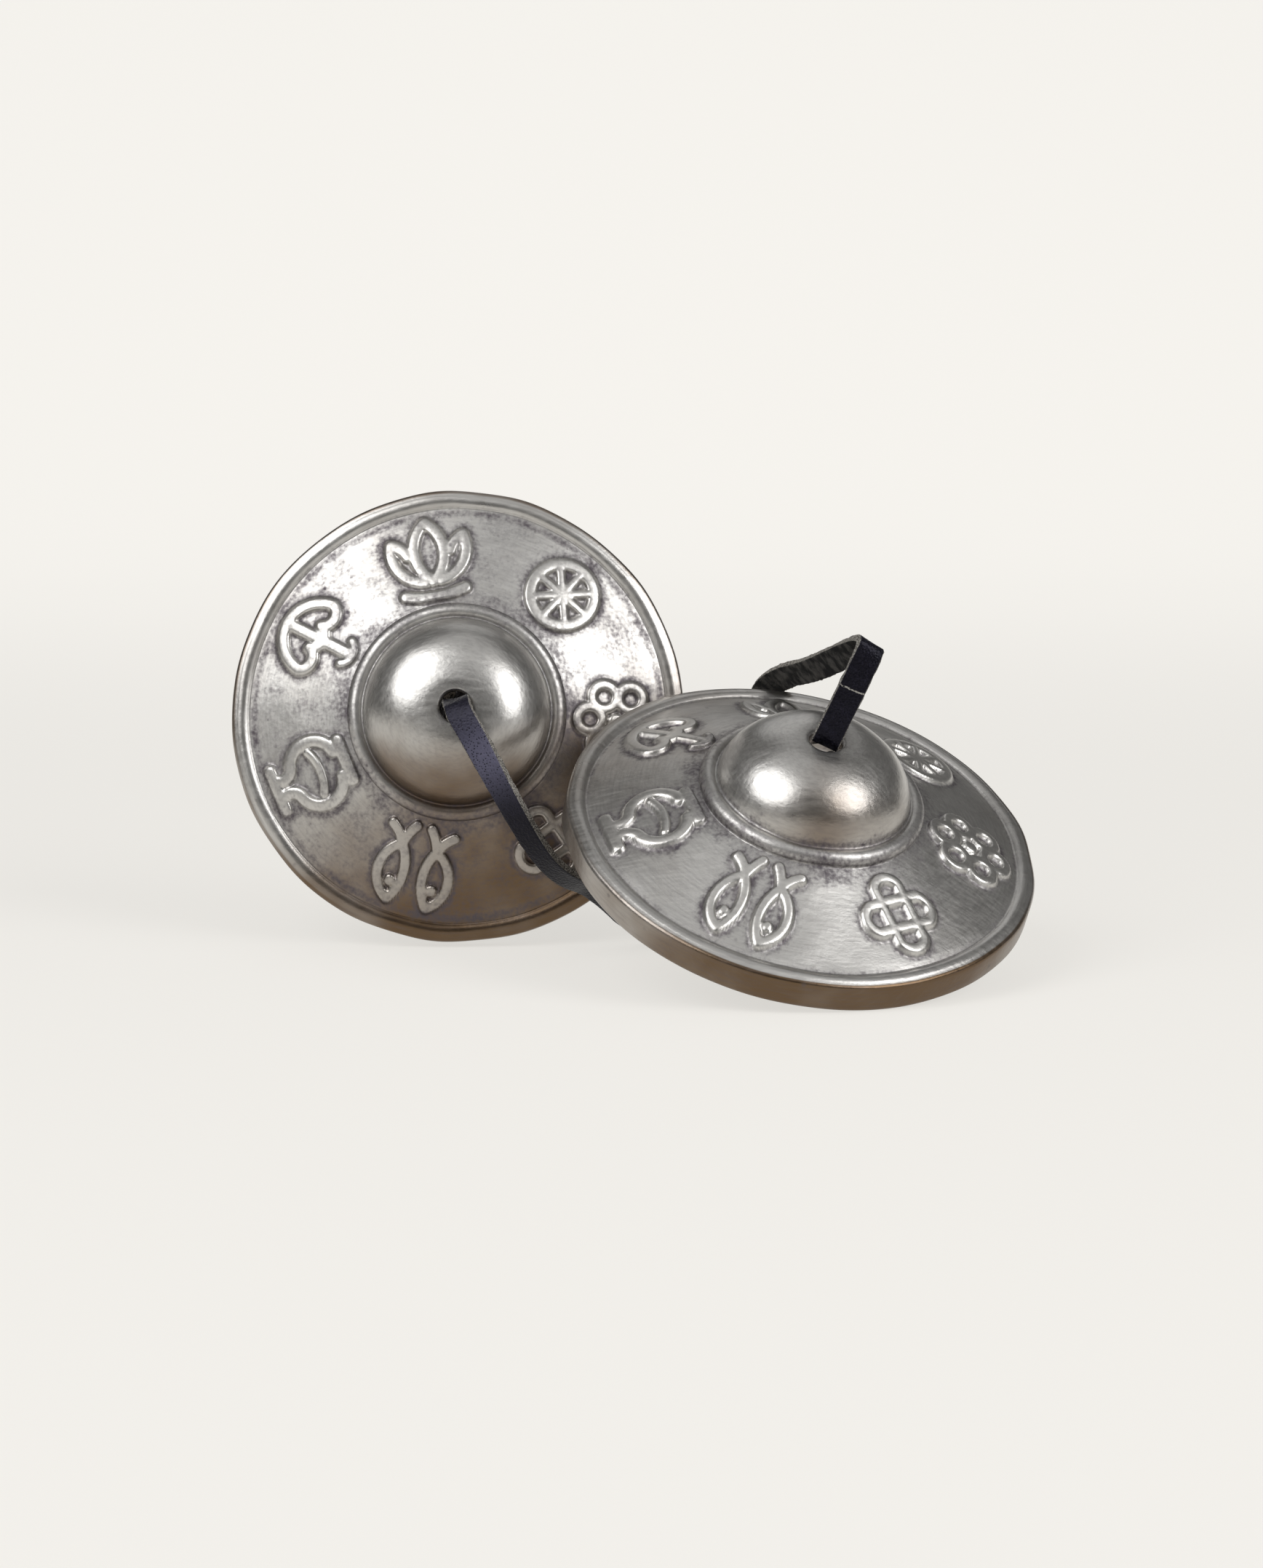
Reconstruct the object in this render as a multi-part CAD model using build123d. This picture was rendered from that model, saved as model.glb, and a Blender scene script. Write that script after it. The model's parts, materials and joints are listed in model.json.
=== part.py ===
"""Tingsha: two cast bell-metal cymbals on one flat leather lace, as they lean on each other on a table.

Millimetres, +Z up, +X to the right. The origin is under the middle of the two cymbals, on the table.
"""
from build123d import *
import math
import os

# Cymbal casting, with heights above the flat underside of its rim
CYMBAL_DIAMETER = 70.0
RIM_HEIGHT = 4.9
RIM_LAND_WIDTH = 3.4
RIM_WALL_DRAFT = 0.5
RIM_BEAD_WIDTH = 2.9
RIM_GROOVE_DEPTH = 0.6
RIM_EDGE_ROUND = 0.7
FLANGE_SHOULDER_HEIGHT = 10.7
FLANGE_WALL = 2.5
BEAD_RING_WIDTH = 2.1
BEAD_RING_RISE = 1.9
DOME_DIAMETER = 28.8
DOME_WAIST_HEIGHT = 11.0
CROWN_HEIGHT = 20.8
CROWN_FLAT_RADIUS = 3.5
DOME_GROOVE_HEIGHT = 12.2
DOME_WALL = 2.4

# Raised ornament, in seven fields round the flange
RELIEF_HEIGHT = 0.8
RELIEF_ROOT = 0.4
RELIEF_MARGIN = 0.7
STROKE_WIDTH = 1.7
THIN_STROKE_WIDTH = 1.2
WHEEL_RADIUS = 4.9
WHEEL_HUB_RADIUS = 1.7
WHEEL_SPOKES = 8
LOOP_LENGTH = 12.2
LOOP_WIDTH = 5.4
LOOP_STROKE_WIDTH = 1.4
LOOP_CORNER = 2.2
BLOSSOM_PETALS = 6
BLOSSOM_REACH = 4.1
BLOSSOM_HEART_RADIUS = 1.0
PETAL_RADIUS = 1.9
FISH_EYE_RADIUS = 0.7
FISH_EYE_ASIDE = 3.3
FISH_EYE_HEIGHT = 2.9
LEFT_FIRST_FIELD = 100.0
RIGHT_FIRST_FIELD = 77.0

# Lace, its holes and its stopper knots
LACE_WIDTH = 4.0
LACE_THICKNESS = 1.3
HOLE_CLEARANCE = 0.3
HOLE_LIP_ROUND = 0.45
LEFT_HOLE_GAP = 0.4
RIGHT_HOLE_GAP = 0.9
NECK_SETBACK = 2.0
KNOT_DIAMETER = 8.8
KNOT_HEIGHT = 6.4
KNOT_GAP = 0.3
TAIL_LENGTH = 13.0
TAIL_SPLAY = 38.0
TWIST_STEP = 12.0
TABLE_GAP = 0.07
ROUTE_DIAMETER = 70.0

# How the pair leans, in degrees: turn about the vertical, lean of the axis, and where the rims meet
LEFT_TURN = 1.6
LEFT_LEAN = 11.4
RIGHT_TURN = 20.5
RIGHT_LEAN = 59.2
LEFT_CONTACT_ANGLE = 1.2
RIGHT_CONTACT_ANGLE = 99.5

# Sizes that follow from these
RIM_RADIUS = CYMBAL_DIAMETER / 2
DOME_RADIUS = DOME_DIAMETER / 2
SHOULDER_RADIUS = DOME_RADIUS + BEAD_RING_WIDTH
RIM_GROOVE_RADIUS = RIM_RADIUS - RIM_BEAD_WIDTH
RIM_GROOVE_HEIGHT = RIM_HEIGHT - RIM_GROOVE_DEPTH
RIM_LAND_INNER = RIM_RADIUS - RIM_LAND_WIDTH
HOLE_RADIUS = math.hypot(LACE_WIDTH, LACE_THICKNESS) / 2 + HOLE_CLEARANCE
FLANGE_FALL = (FLANGE_SHOULDER_HEIGHT - RIM_GROOVE_HEIGHT) / (RIM_GROOVE_RADIUS - SHOULDER_RADIUS)


def flange_height(radius):
    """Height of the flange's upper face, a cone that falls from the bead ring to the rim's groove."""
    return FLANGE_SHOULDER_HEIGHT - FLANGE_FALL * (radius - SHOULDER_RADIUS)


def flange_underside(radius):
    """Height of the flange's lower face, one wall below the upper one."""
    return flange_height(radius) - FLANGE_WALL * math.hypot(1, FLANGE_FALL)


def casting_outline():
    """Half section of the casting, radius along X and height along Y."""
    dome_across = DOME_RADIUS - CROWN_FLAT_RADIUS
    dome_rise = CROWN_HEIGHT - DOME_WAIST_HEIGHT
    groove_angle = math.degrees(math.asin((DOME_GROOVE_HEIGHT - DOME_WAIST_HEIGHT) / dome_rise))
    dome_centre = (CROWN_FLAT_RADIUS, DOME_WAIST_HEIGHT)
    lip_centre = (HOLE_RADIUS + HOLE_LIP_ROUND, CROWN_HEIGHT - HOLE_LIP_ROUND)
    edge = RIM_RADIUS - RIM_EDGE_ROUND
    bead_end = RIM_HEIGHT - RIM_EDGE_ROUND / 2
    inner_foot = SHOULDER_RADIUS - DOME_WALL
    inner_wall = RIM_LAND_INNER - RIM_WALL_DRAFT
    crown_underside = CROWN_HEIGHT - DOME_WALL
    lip = CenterArc(lip_centre, HOLE_LIP_ROUND, 180, -90)
    crown = Line(lip @ 1, (CROWN_FLAT_RADIUS, CROWN_HEIGHT))
    dome = EllipticalCenterArc(dome_centre, dome_across, dome_rise, groove_angle, arc_size=90 - groove_angle)
    groove = dome @ 0
    ring_top = (groove.X + BEAD_RING_WIDTH / 2, FLANGE_SHOULDER_HEIGHT + BEAD_RING_RISE)
    ring = ThreePointArc(groove, ring_top, (SHOULDER_RADIUS, FLANGE_SHOULDER_HEIGHT))
    flange = Line(ring @ 1, (RIM_GROOVE_RADIUS, RIM_GROOVE_HEIGHT))
    bead_top = ((RIM_GROOVE_RADIUS + edge) / 2, RIM_HEIGHT)
    bead = ThreePointArc(flange @ 1, bead_top, (edge, bead_end))
    upper_edge = CenterArc((edge, bead_end - RIM_EDGE_ROUND), RIM_EDGE_ROUND, 90, -90)
    band = Line(upper_edge @ 1, (RIM_RADIUS, RIM_EDGE_ROUND))
    lower_edge = CenterArc((edge, RIM_EDGE_ROUND), RIM_EDGE_ROUND, 0, -90)
    underside = Polyline(
        lower_edge @ 1,
        (RIM_LAND_INNER, 0),
        (inner_wall, flange_underside(inner_wall)),
        (inner_foot, flange_underside(inner_foot)),
        (DOME_RADIUS - DOME_WALL, DOME_WAIST_HEIGHT),
    )
    inner_dome = EllipticalCenterArc(dome_centre, dome_across - DOME_WALL, dome_rise - DOME_WALL)
    bore = Polyline(inner_dome @ 1, (HOLE_RADIUS, crown_underside), lip @ 0)
    edges = [lip, crown, dome, ring, flange, bead, upper_edge, band, lower_edge, underside, inner_dome, bore]
    return make_face(Curve() + edges)


def casting():
    """One cymbal without its ornament, turned about its own axis."""
    return revolve(Plane.XZ * casting_outline(), axis=Axis.Z)


def round_ended(line, width):
    """A raised line of the ornament, as wide as given, with round ends."""
    cap = Circle(width / 2)
    return [trace(line, width), Pos(line @ 0) * cap, Pos(line @ 1) * cap]


def bar(start, end, width):
    """A straight stroke."""
    return round_ended(Line(start, end), width)


def stroke(start, through, end, width):
    """A stroke along the arc through three points."""
    return round_ended(ThreePointArc(start, through, end), width)


def both_sides(start, through, end, width):
    """A stroke and its mirror image across the motif's middle line."""
    mirrored = [(-x, y) for x, y in (start, through, end)]
    return stroke(start, through, end, width) + stroke(*mirrored, width)


def ring_stroke(radius, width):
    """A raised ring about the motif's middle."""
    return [Circle(radius + width / 2) - Circle(radius - width / 2)]


def wheel():
    """Spoked wheel."""
    shapes = ring_stroke(WHEEL_RADIUS, STROKE_WIDTH) + [Circle(WHEEL_HUB_RADIUS)]
    for number in range(WHEEL_SPOKES):
        rim = Vector(WHEEL_RADIUS, 0).rotate(Axis.Z, number * 360 / WHEEL_SPOKES)
        shapes += bar((0, 0), (rim.X, rim.Y), THIN_STROKE_WIDTH)
    return shapes


def lotus():
    """Open lotus on its base line."""
    shapes = both_sides((0, -3.8), (2.3, 1.0), (0, 5.8), STROKE_WIDTH)
    shapes += both_sides((1.2, -3.8), (5.0, -1.4), (5.6, 3.0), STROKE_WIDTH)
    shapes += both_sides((5.6, 3.0), (4.3, 2.2), (3.3, 0.8), STROKE_WIDTH)
    return shapes + stroke((-4.6, -5.6), (0, -6.3), (4.6, -5.6), STROKE_WIDTH)


def endless_knot():
    """Two long loops laid across each other."""
    border = 2 * LOOP_STROKE_WIDTH
    inner_corner = LOOP_CORNER - LOOP_STROKE_WIDTH
    gap = RectangleRounded(LOOP_LENGTH - border, LOOP_WIDTH - border, inner_corner)
    loop = RectangleRounded(LOOP_LENGTH, LOOP_WIDTH, LOOP_CORNER) - gap
    return [loop, Rot(0, 0, 90) * loop]


def blossom():
    """Open blossom with round petals about its heart."""
    shapes = [Circle(BLOSSOM_HEART_RADIUS)]
    for number in range(BLOSSOM_PETALS):
        middle = Vector(0, BLOSSOM_REACH).rotate(Axis.Z, number * 360 / BLOSSOM_PETALS)
        shapes += [Pos(middle) * petal for petal in ring_stroke(PETAL_RADIUS, LOOP_STROKE_WIDTH)]
    return shapes


def two_fish():
    """Two fish side by side, heads to the rim and tails to the dome."""
    shapes = both_sides((2.7, -3.0), (1.5, 1.3), (3.1, 5.7), LOOP_STROKE_WIDTH)
    shapes += both_sides((2.7, -3.0), (5.5, 1.3), (3.1, 5.7), LOOP_STROKE_WIDTH)
    shapes += both_sides((2.7, -3.0), (2.1, -4.6), (1.2, -6.0), LOOP_STROKE_WIDTH)
    shapes += both_sides((2.7, -3.0), (3.6, -4.5), (4.8, -5.6), LOOP_STROKE_WIDTH)
    return shapes + [Pos(x, FISH_EYE_HEIGHT) * Circle(FISH_EYE_RADIUS) for x in (-FISH_EYE_ASIDE, FISH_EYE_ASIDE)]


def vase():
    """Round vase with a lip and a foot."""
    shapes = bar((-3.2, 5.6), (3.2, 5.6), STROKE_WIDTH)
    shapes += both_sides((1.3, 5.2), (1.2, 3.6), (2.6, 2.4), STROKE_WIDTH)
    shapes += both_sides((2.6, 2.4), (5.0, -1.2), (2.0, -4.6), STROKE_WIDTH)
    shapes += stroke((-3.4, -0.9), (0, -1.7), (3.4, -0.9), THIN_STROKE_WIDTH)
    return shapes + bar((-3.2, -5.8), (3.2, -5.8), STROKE_WIDTH)


def parasol():
    """Parasol with a scalloped hem."""
    shapes = stroke((-5.6, 0.4), (0, 5.4), (5.6, 0.4), STROKE_WIDTH)
    shapes += both_sides((5.6, 0.4), (3.7, -0.9), (1.9, 0.4), STROKE_WIDTH)
    shapes += stroke((-1.9, 0.4), (0, -0.9), (1.9, 0.4), STROKE_WIDTH)
    shapes += bar((0, 5.4), (0, -6.0), STROKE_WIDTH)
    return shapes + stroke((-1.9, -5.0), (0, -6.2), (1.9, -5.0), THIN_STROKE_WIDTH)


MOTIFS = (lotus, wheel, blossom, endless_knot, two_fish, vase, parasol)


def relief_layer():
    """The space just above the flange that the ornament stands in, rooted in the metal."""
    inner = SHOULDER_RADIUS + RELIEF_MARGIN
    outer = RIM_GROOVE_RADIUS - RELIEF_MARGIN
    corners = [
        (inner, flange_height(inner) - RELIEF_ROOT),
        (outer, flange_height(outer) - RELIEF_ROOT),
        (outer, flange_height(outer) + RELIEF_HEIGHT),
        (inner, flange_height(inner) + RELIEF_HEIGHT),
    ]
    return revolve(Plane.XZ * make_face(Polyline(*corners, close=True)), axis=Axis.Z)


def ornament(first_field):
    """The seven motifs round the flange, each with its top towards the rim."""
    field_radius = (SHOULDER_RADIUS + RIM_GROOVE_RADIUS) / 2
    prisms = []
    for number, motif in enumerate(MOTIFS):
        angle = first_field - number * 360 / len(MOTIFS)
        outline = Sketch() + motif()
        field = Rot(0, 0, angle - 90) * Pos(0, field_radius) * outline
        prisms.append(extrude(field, CROWN_HEIGHT))
    return relief_layer() & (Part() + prisms)


def cymbal(first_field):
    """One whole casting, on its own axis."""
    return casting() + ornament(first_field)


def lean_plane(turn, lean, origin=(0, 0, 0)):
    """Plane of a rim's underside: X level with the table, Y up the slope, Z along the cymbal's axis."""
    facing = math.radians(turn)
    rise = math.radians(lean)
    axis = (math.sin(facing) * math.cos(rise), -math.cos(facing) * math.cos(rise), math.sin(rise))
    return Plane(origin=origin, x_dir=(math.cos(facing), math.sin(facing), 0), z_dir=axis)


def resting_height(lean):
    """Height of the rim's centre when the round lower edge of the rim stands on the table."""
    rise = math.radians(lean)
    return (RIM_RADIUS - RIM_EDGE_ROUND) * math.cos(rise) + RIM_EDGE_ROUND * (1 - math.sin(rise))


def rim_point(angle, height):
    """A point on the rim's outside, in the cymbal's own frame."""
    return Vector(RIM_RADIUS, 0, height).rotate(Axis.Z, angle)


def pair_planes():
    """Planes of both cymbals: both stand, and the right one's lower edge leans on the left one's upper edge."""
    left_place = Vector(0, 0, resting_height(LEFT_LEAN))
    left = lean_plane(LEFT_TURN, LEFT_LEAN, left_place)
    meeting = left.from_local_coords(rim_point(LEFT_CONTACT_ANGLE, RIM_HEIGHT))
    reach = lean_plane(RIGHT_TURN, RIGHT_LEAN).from_local_coords(rim_point(RIGHT_CONTACT_ANGLE, 0))
    right_place = Vector(meeting.X - reach.X, meeting.Y - reach.Y, resting_height(RIGHT_LEAN))
    right = lean_plane(RIGHT_TURN, RIGHT_LEAN, right_place)
    span = Compound([left.location * casting(), right.location * casting()]).bounding_box()
    centring = Vector(-span.center().X, -span.center().Y, -span.min.Z)
    return (
        lean_plane(LEFT_TURN, LEFT_LEAN, left_place + centring),
        lean_plane(RIGHT_TURN, RIGHT_LEAN, right_place + centring),
    )


LEFT_PLANE, RIGHT_PLANE = pair_planes()
LEFT_HOLE = LEFT_PLANE.from_local_coords(Vector(0, 0, CROWN_HEIGHT))
RIGHT_HOLE = RIGHT_PLANE.from_local_coords(Vector(0, 0, CROWN_HEIGHT))

TABLE_UNDER_RIGHT = Vector(RIGHT_PLANE.origin.X, RIGHT_PLANE.origin.Y, LACE_THICKNESS / 2 + TABLE_GAP)

# The lace's way between the holes, in three stretches. Each point is laid out from a place on the pair, for cymbals of
# the route's own diameter, and has the way that the lace's smooth side faces.
LEFT_HANG = [
    ((0.08, -2.35, 0.47), (-0.10, -0.80, 0.80)),
    ((0.73, -3.53, -1.90), (-0.15, -1.00, 0.10)),
    ((2.65, -3.83, -5.87), (-0.15, -1.00, 0.00)),
    ((5.21, -3.93, -9.87), (-0.15, -1.00, 0.00)),
    ((8.72, -3.63, -15.35), (-0.15, -1.00, 0.00)),
    ((13.53, -2.63, -21.08), (-0.15, -1.00, -0.10)),
    ((19.12, -0.23, -28.08), (-0.10, -0.90, -0.40)),
]
WAY_BEHIND = [
    ((-27.57, 13.42, 4.68), (-0.20, -0.55, -0.80)),
    ((-21.77, 19.42, 0.00), (0.00, 0.00, -1.00)),
    ((-3.87, 36.42, 0.00), (0.50, 0.45, -0.75)),
    ((-1.17, 39.22, 8.28), (0.55, 0.80, -0.20)),
    ((0.03, 40.02, 19.28), (0.40, 0.90, 0.00)),
    ((-0.17, 38.42, 30.28), (0.40, 0.90, 0.20)),
    ((-0.67, 34.72, 39.28), (0.55, 0.55, 0.60)),
    ((1.08, 26.82, 41.41), (0.70, 0.20, 0.65)),
]
RIGHT_FOLD = [
    ((-0.31, 24.80, 8.37), (0.75, 0.25, 0.60)),
    ((3.05, 9.80, 11.41), (0.80, 0.25, 0.55)),
    ((6.20, 1.10, 13.97), (0.60, 0.05, 0.80)),
    ((6.10, -0.90, 12.67), (0.20, -0.90, 0.40)),
]
LACE_ROUTE = []
for origin, stretch in ((LEFT_HOLE, LEFT_HANG), (TABLE_UNDER_RIGHT, WAY_BEHIND), (RIGHT_HOLE, RIGHT_FOLD)):
    for offset, facing in stretch:
        LACE_ROUTE.append((origin + Vector(*offset) * (CYMBAL_DIAMETER / ROUTE_DIAMETER), Vector(*facing)))
LEFT_HOLE_FACING = (0.00, -0.20, 1.00)
RIGHT_HOLE_FACING = (0.00, -1.00, 0.00)
FLOOR_RUN_FROM = 8
FLOOR_RUN_TO = 11
BEND_SHARE = 0.45


class Bend:
    """One corner of the lace's route, rounded by an arc that both runs touch.

    In a tight fold the lace bends flat, about its own width.
    """

    def __init__(self, before, corner, after, facing):
        arriving = corner - before
        leaving = after - corner
        self.inward = arriving.normalized()
        self.outward = leaving.normalized()
        self.turn = self.inward.get_angle(self.outward)
        half = math.tan(math.radians(self.turn / 2))
        self.radius = BEND_SHARE * min(arriving.length, leaving.length) / half
        self.axis = self.inward.cross(self.outward).normalized()
        self.start = corner - self.inward * (self.radius * half)
        self.end = corner + self.outward * (self.radius * half)
        self.centre = self.start + self.axis.cross(self.inward) * self.radius
        middle = self.inward.rotate(Axis((0, 0, 0), self.axis), self.turn / 2)
        across = middle.cross(facing).normalized()
        if self.radius < LACE_WIDTH:
            across = self.axis if self.axis.dot(across) > 0 else -self.axis
        self.width_in = across.rotate(Axis((0, 0, 0), self.axis), -self.turn / 2)
        self.width_out = across.rotate(Axis((0, 0, 0), self.axis), self.turn / 2)

    def solid(self):
        """The bent piece of lace."""
        section = lace_section(self.start, self.inward, self.width_in)
        return revolve(section, axis=Axis(self.centre, self.axis), revolution_arc=self.turn)


def lace_section(place, along, across):
    """The lace's rectangle at a place on its way."""
    return Plane(origin=place, x_dir=across, z_dir=along) * Rectangle(LACE_WIDTH, LACE_THICKNESS)


def straight_lace(start, end, width_start, width_end):
    """A straight run of lace that twists evenly from one facing to the next."""
    along = (end - start).normalized()
    twist = math.degrees(math.atan2(width_start.cross(width_end).dot(along), width_start.dot(width_end)))
    steps = math.ceil(abs(twist) / TWIST_STEP) + 1
    sections = []
    for step in range(steps + 1):
        share = step / steps
        across = width_start.rotate(Axis((0, 0, 0), along), twist * share)
        sections.append(lace_section(start + (end - start) * share, along, across))
    return loft(sections, ruled=True)


def lace_spans():
    """The lace as three stretches that meet face to face: the left span, the floor run and the right span."""
    points = [LEFT_HOLE + LEFT_PLANE.z_dir * LEFT_HOLE_GAP]
    points += [point for point, facing in LACE_ROUTE]
    last_way = (points[-1] - RIGHT_HOLE).normalized()
    points.append(RIGHT_HOLE + last_way * RIGHT_HOLE_GAP)
    bends = []
    for before, corner, after, (_, facing) in zip(points, points[1:], points[2:], LACE_ROUTE):
        bends.append(Bend(before, corner, after, facing))
    first_width = bends[0].inward.cross(Vector(*LEFT_HOLE_FACING)).normalized()
    last_width = bends[-1].outward.cross(Vector(*RIGHT_HOLE_FACING)).normalized()
    starts = [(points[0], first_width)] + [(bend.end, bend.width_out) for bend in bends]
    ends = [(bend.start, bend.width_in) for bend in bends] + [(points[-1], last_width)]
    spans = [[]]
    length = 0
    for run, ((start, width_start), (end, width_end)) in enumerate(zip(starts, ends)):
        length += (end - start).length
        if run in (FLOOR_RUN_FROM, FLOOR_RUN_TO):
            middle = (start + end) / 2
            along = (end - start).normalized()
            across = (width_start + width_end).normalized()
            across = (across - along * across.dot(along)).normalized()
            spans[-1].append(straight_lace(start, middle, width_start, across))
            spans.append([straight_lace(middle, end, across, width_end)])
        else:
            spans[-1].append(straight_lace(start, end, width_start, width_end))
        if run < len(bends):
            spans[-1].append(bends[run].solid())
            length += math.radians(bends[run].turn) * bends[run].radius
    solids = [span[0] + span[1:] for span in spans]
    print("lace bend radii", [round(bend.radius, 2) for bend in bends])
    print("lace length", round(length, 1), "volume", round(sum(solid.volume for solid in solids), 1),
          "section times length", round(LACE_WIDTH * LACE_THICKNESS * length, 1))
    return solids


def stopper_knot():
    """Knot under the crown, with the lace's neck in the hole and its cut tail, in the cymbal's own frame."""
    top = CROWN_HEIGHT - DOME_WALL - KNOT_GAP
    middle = top - KNOT_HEIGHT / 2
    bulge = EllipticalCenterArc((0, middle), KNOT_DIAMETER / 2, KNOT_HEIGHT / 2, -90, arc_size=180)
    ball = revolve(Plane.XZ * make_face(Curve() + [bulge, Line(bulge @ 1, bulge @ 0)]), axis=Axis.Z)
    neck_top = CROWN_HEIGHT - NECK_SETBACK
    neck = Pos(0, 0, (middle + neck_top) / 2) * Box(LACE_WIDTH, LACE_THICKNESS, neck_top - middle)
    tail = Pos(0, 0, -TAIL_LENGTH / 2) * Box(LACE_THICKNESS, LACE_WIDTH, TAIL_LENGTH)
    return ball + neck + Pos(0, 0, middle) * Rot(0, TAIL_SPLAY, 0) * tail


def main():
    """Write every piece as its own solid."""
    left_span, floor_run, right_span = lace_spans()
    knot = stopper_knot()
    pieces = {
        "left_cymbal": LEFT_PLANE.location * cymbal(LEFT_FIRST_FIELD),
        "right_cymbal": RIGHT_PLANE.location * cymbal(RIGHT_FIRST_FIELD),
        "left_knot": LEFT_PLANE.location * knot,
        "right_knot": RIGHT_PLANE.location * knot,
        "strap_left_span": left_span,
        "strap_floor_run": floor_run,
        "strap_right_span": right_span,
    }
    os.makedirs("parts", exist_ok=True)
    for name, piece in pieces.items():
        export_step(piece, f"parts/{name}.step")


if __name__ == "__main__":
    main()
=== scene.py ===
"""Tingsha: two cast bell-metal cymbals on one flat leather lace, leaning on each other on a pale table.

Metres, +Z up, +X to the right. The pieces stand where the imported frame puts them.
"""
from __future__ import annotations

import json
import logging
import math
from dataclasses import dataclass
from enum import Enum

import bmesh
import bpy
import numpy as np
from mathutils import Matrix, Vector


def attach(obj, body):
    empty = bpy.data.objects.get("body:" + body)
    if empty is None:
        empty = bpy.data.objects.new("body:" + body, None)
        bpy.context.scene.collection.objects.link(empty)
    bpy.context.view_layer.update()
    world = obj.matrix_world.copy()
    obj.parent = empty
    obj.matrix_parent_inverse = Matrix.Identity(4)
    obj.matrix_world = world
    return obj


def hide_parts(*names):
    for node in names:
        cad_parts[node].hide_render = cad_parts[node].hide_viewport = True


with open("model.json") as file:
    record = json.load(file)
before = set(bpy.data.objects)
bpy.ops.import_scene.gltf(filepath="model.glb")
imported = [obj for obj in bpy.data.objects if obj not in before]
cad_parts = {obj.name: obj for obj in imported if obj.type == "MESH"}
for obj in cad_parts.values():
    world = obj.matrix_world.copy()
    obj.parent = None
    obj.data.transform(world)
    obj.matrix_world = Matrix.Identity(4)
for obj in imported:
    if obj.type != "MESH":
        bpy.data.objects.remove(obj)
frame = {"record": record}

log = logging.getLogger("tingsha")
MM = 0.001
MERGE_DISTANCE = 0.001 * MM
NOISE_MIDDLE = 0.5
BOLD = 1.7
FINE = 1.4
THIN = 1.2
Socket = bpy.types.NodeSocket


class Side(Enum):
    """Which of the two cymbals a piece belongs to."""

    LEFT = "left"
    RIGHT = "right"


def unit(vectors: np.ndarray) -> np.ndarray:
    """Vectors of length one, along the last axis."""
    return vectors / np.linalg.norm(vectors, axis=-1, keepdims=True)


def smoothstep(low: float, high: float, values: np.ndarray) -> np.ndarray:
    """Ease from 0 at low to 1 at high: 3t^2 - 2t^3 of the clamped share t.

    Args:
        low: Value where the result is 0.
        high: Value where the result is 1.
        values: What is eased.

    Returns:
        The eased shares.
    """
    share = np.clip((values - low) / (high - low), 0, 1)
    return share * share * (3 - 2 * share)


def line_points(start: tuple, end: tuple, count: int) -> np.ndarray:
    """Points from start up to, not with, end, evenly spaced."""
    shares = np.arange(count)[:, None] / count
    return np.asarray(start) * (1 - shares) + np.asarray(end) * shares


def arc_points(centre: tuple, across: float, rise: float, angles: tuple, count: int) -> np.ndarray:
    """Points of an elliptical arc up to, not with, its end.

    Args:
        centre: Centre of the ellipse.
        across: Half axis along the first coordinate.
        rise: Half axis along the second coordinate.
        angles: Start and end, in degrees.
        count: How many points.

    Returns:
        An array of count rows.
    """
    turn = np.radians(np.linspace(angles[0], angles[1], count, endpoint=False))
    return np.stack([centre[0] + across * np.cos(turn), centre[1] + rise * np.sin(turn)], axis=1)


def circle_through(start: tuple, through: tuple, end: tuple) -> tuple[np.ndarray, float, float, float]:
    """Circle through three points, from the equal distances of its centre to all three.

    Args:
        start: First point.
        through: A point on the arc.
        end: Last point.

    Returns:
        The centre, the radius, the start angle and the signed sweep, in radians.
    """
    a, b, c = (np.asarray(point, float) for point in (start, through, end))
    rows = 2 * np.array([b - a, c - a])
    centre = np.linalg.solve(rows, np.array([b @ b - a @ a, c @ c - a @ a]))
    first, middle, last = (math.atan2(*(point - centre)[::-1]) for point in (a, b, c))
    sweep = (last - first) % (2 * math.pi)
    if (middle - first) % (2 * math.pi) > sweep:
        sweep -= 2 * math.pi
    return centre, float(np.linalg.norm(a - centre)), first, sweep


def hang(name: str, data: bpy.types.ID) -> bpy.types.Object:
    """An object for a mesh, lamp or camera, in the scene.

    Args:
        name: Name of the object.
        data: What it shows.

    Returns:
        The object, at the origin.
    """
    holder = bpy.data.objects.new(name, data)
    bpy.context.scene.collection.objects.link(holder)
    return holder


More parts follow.
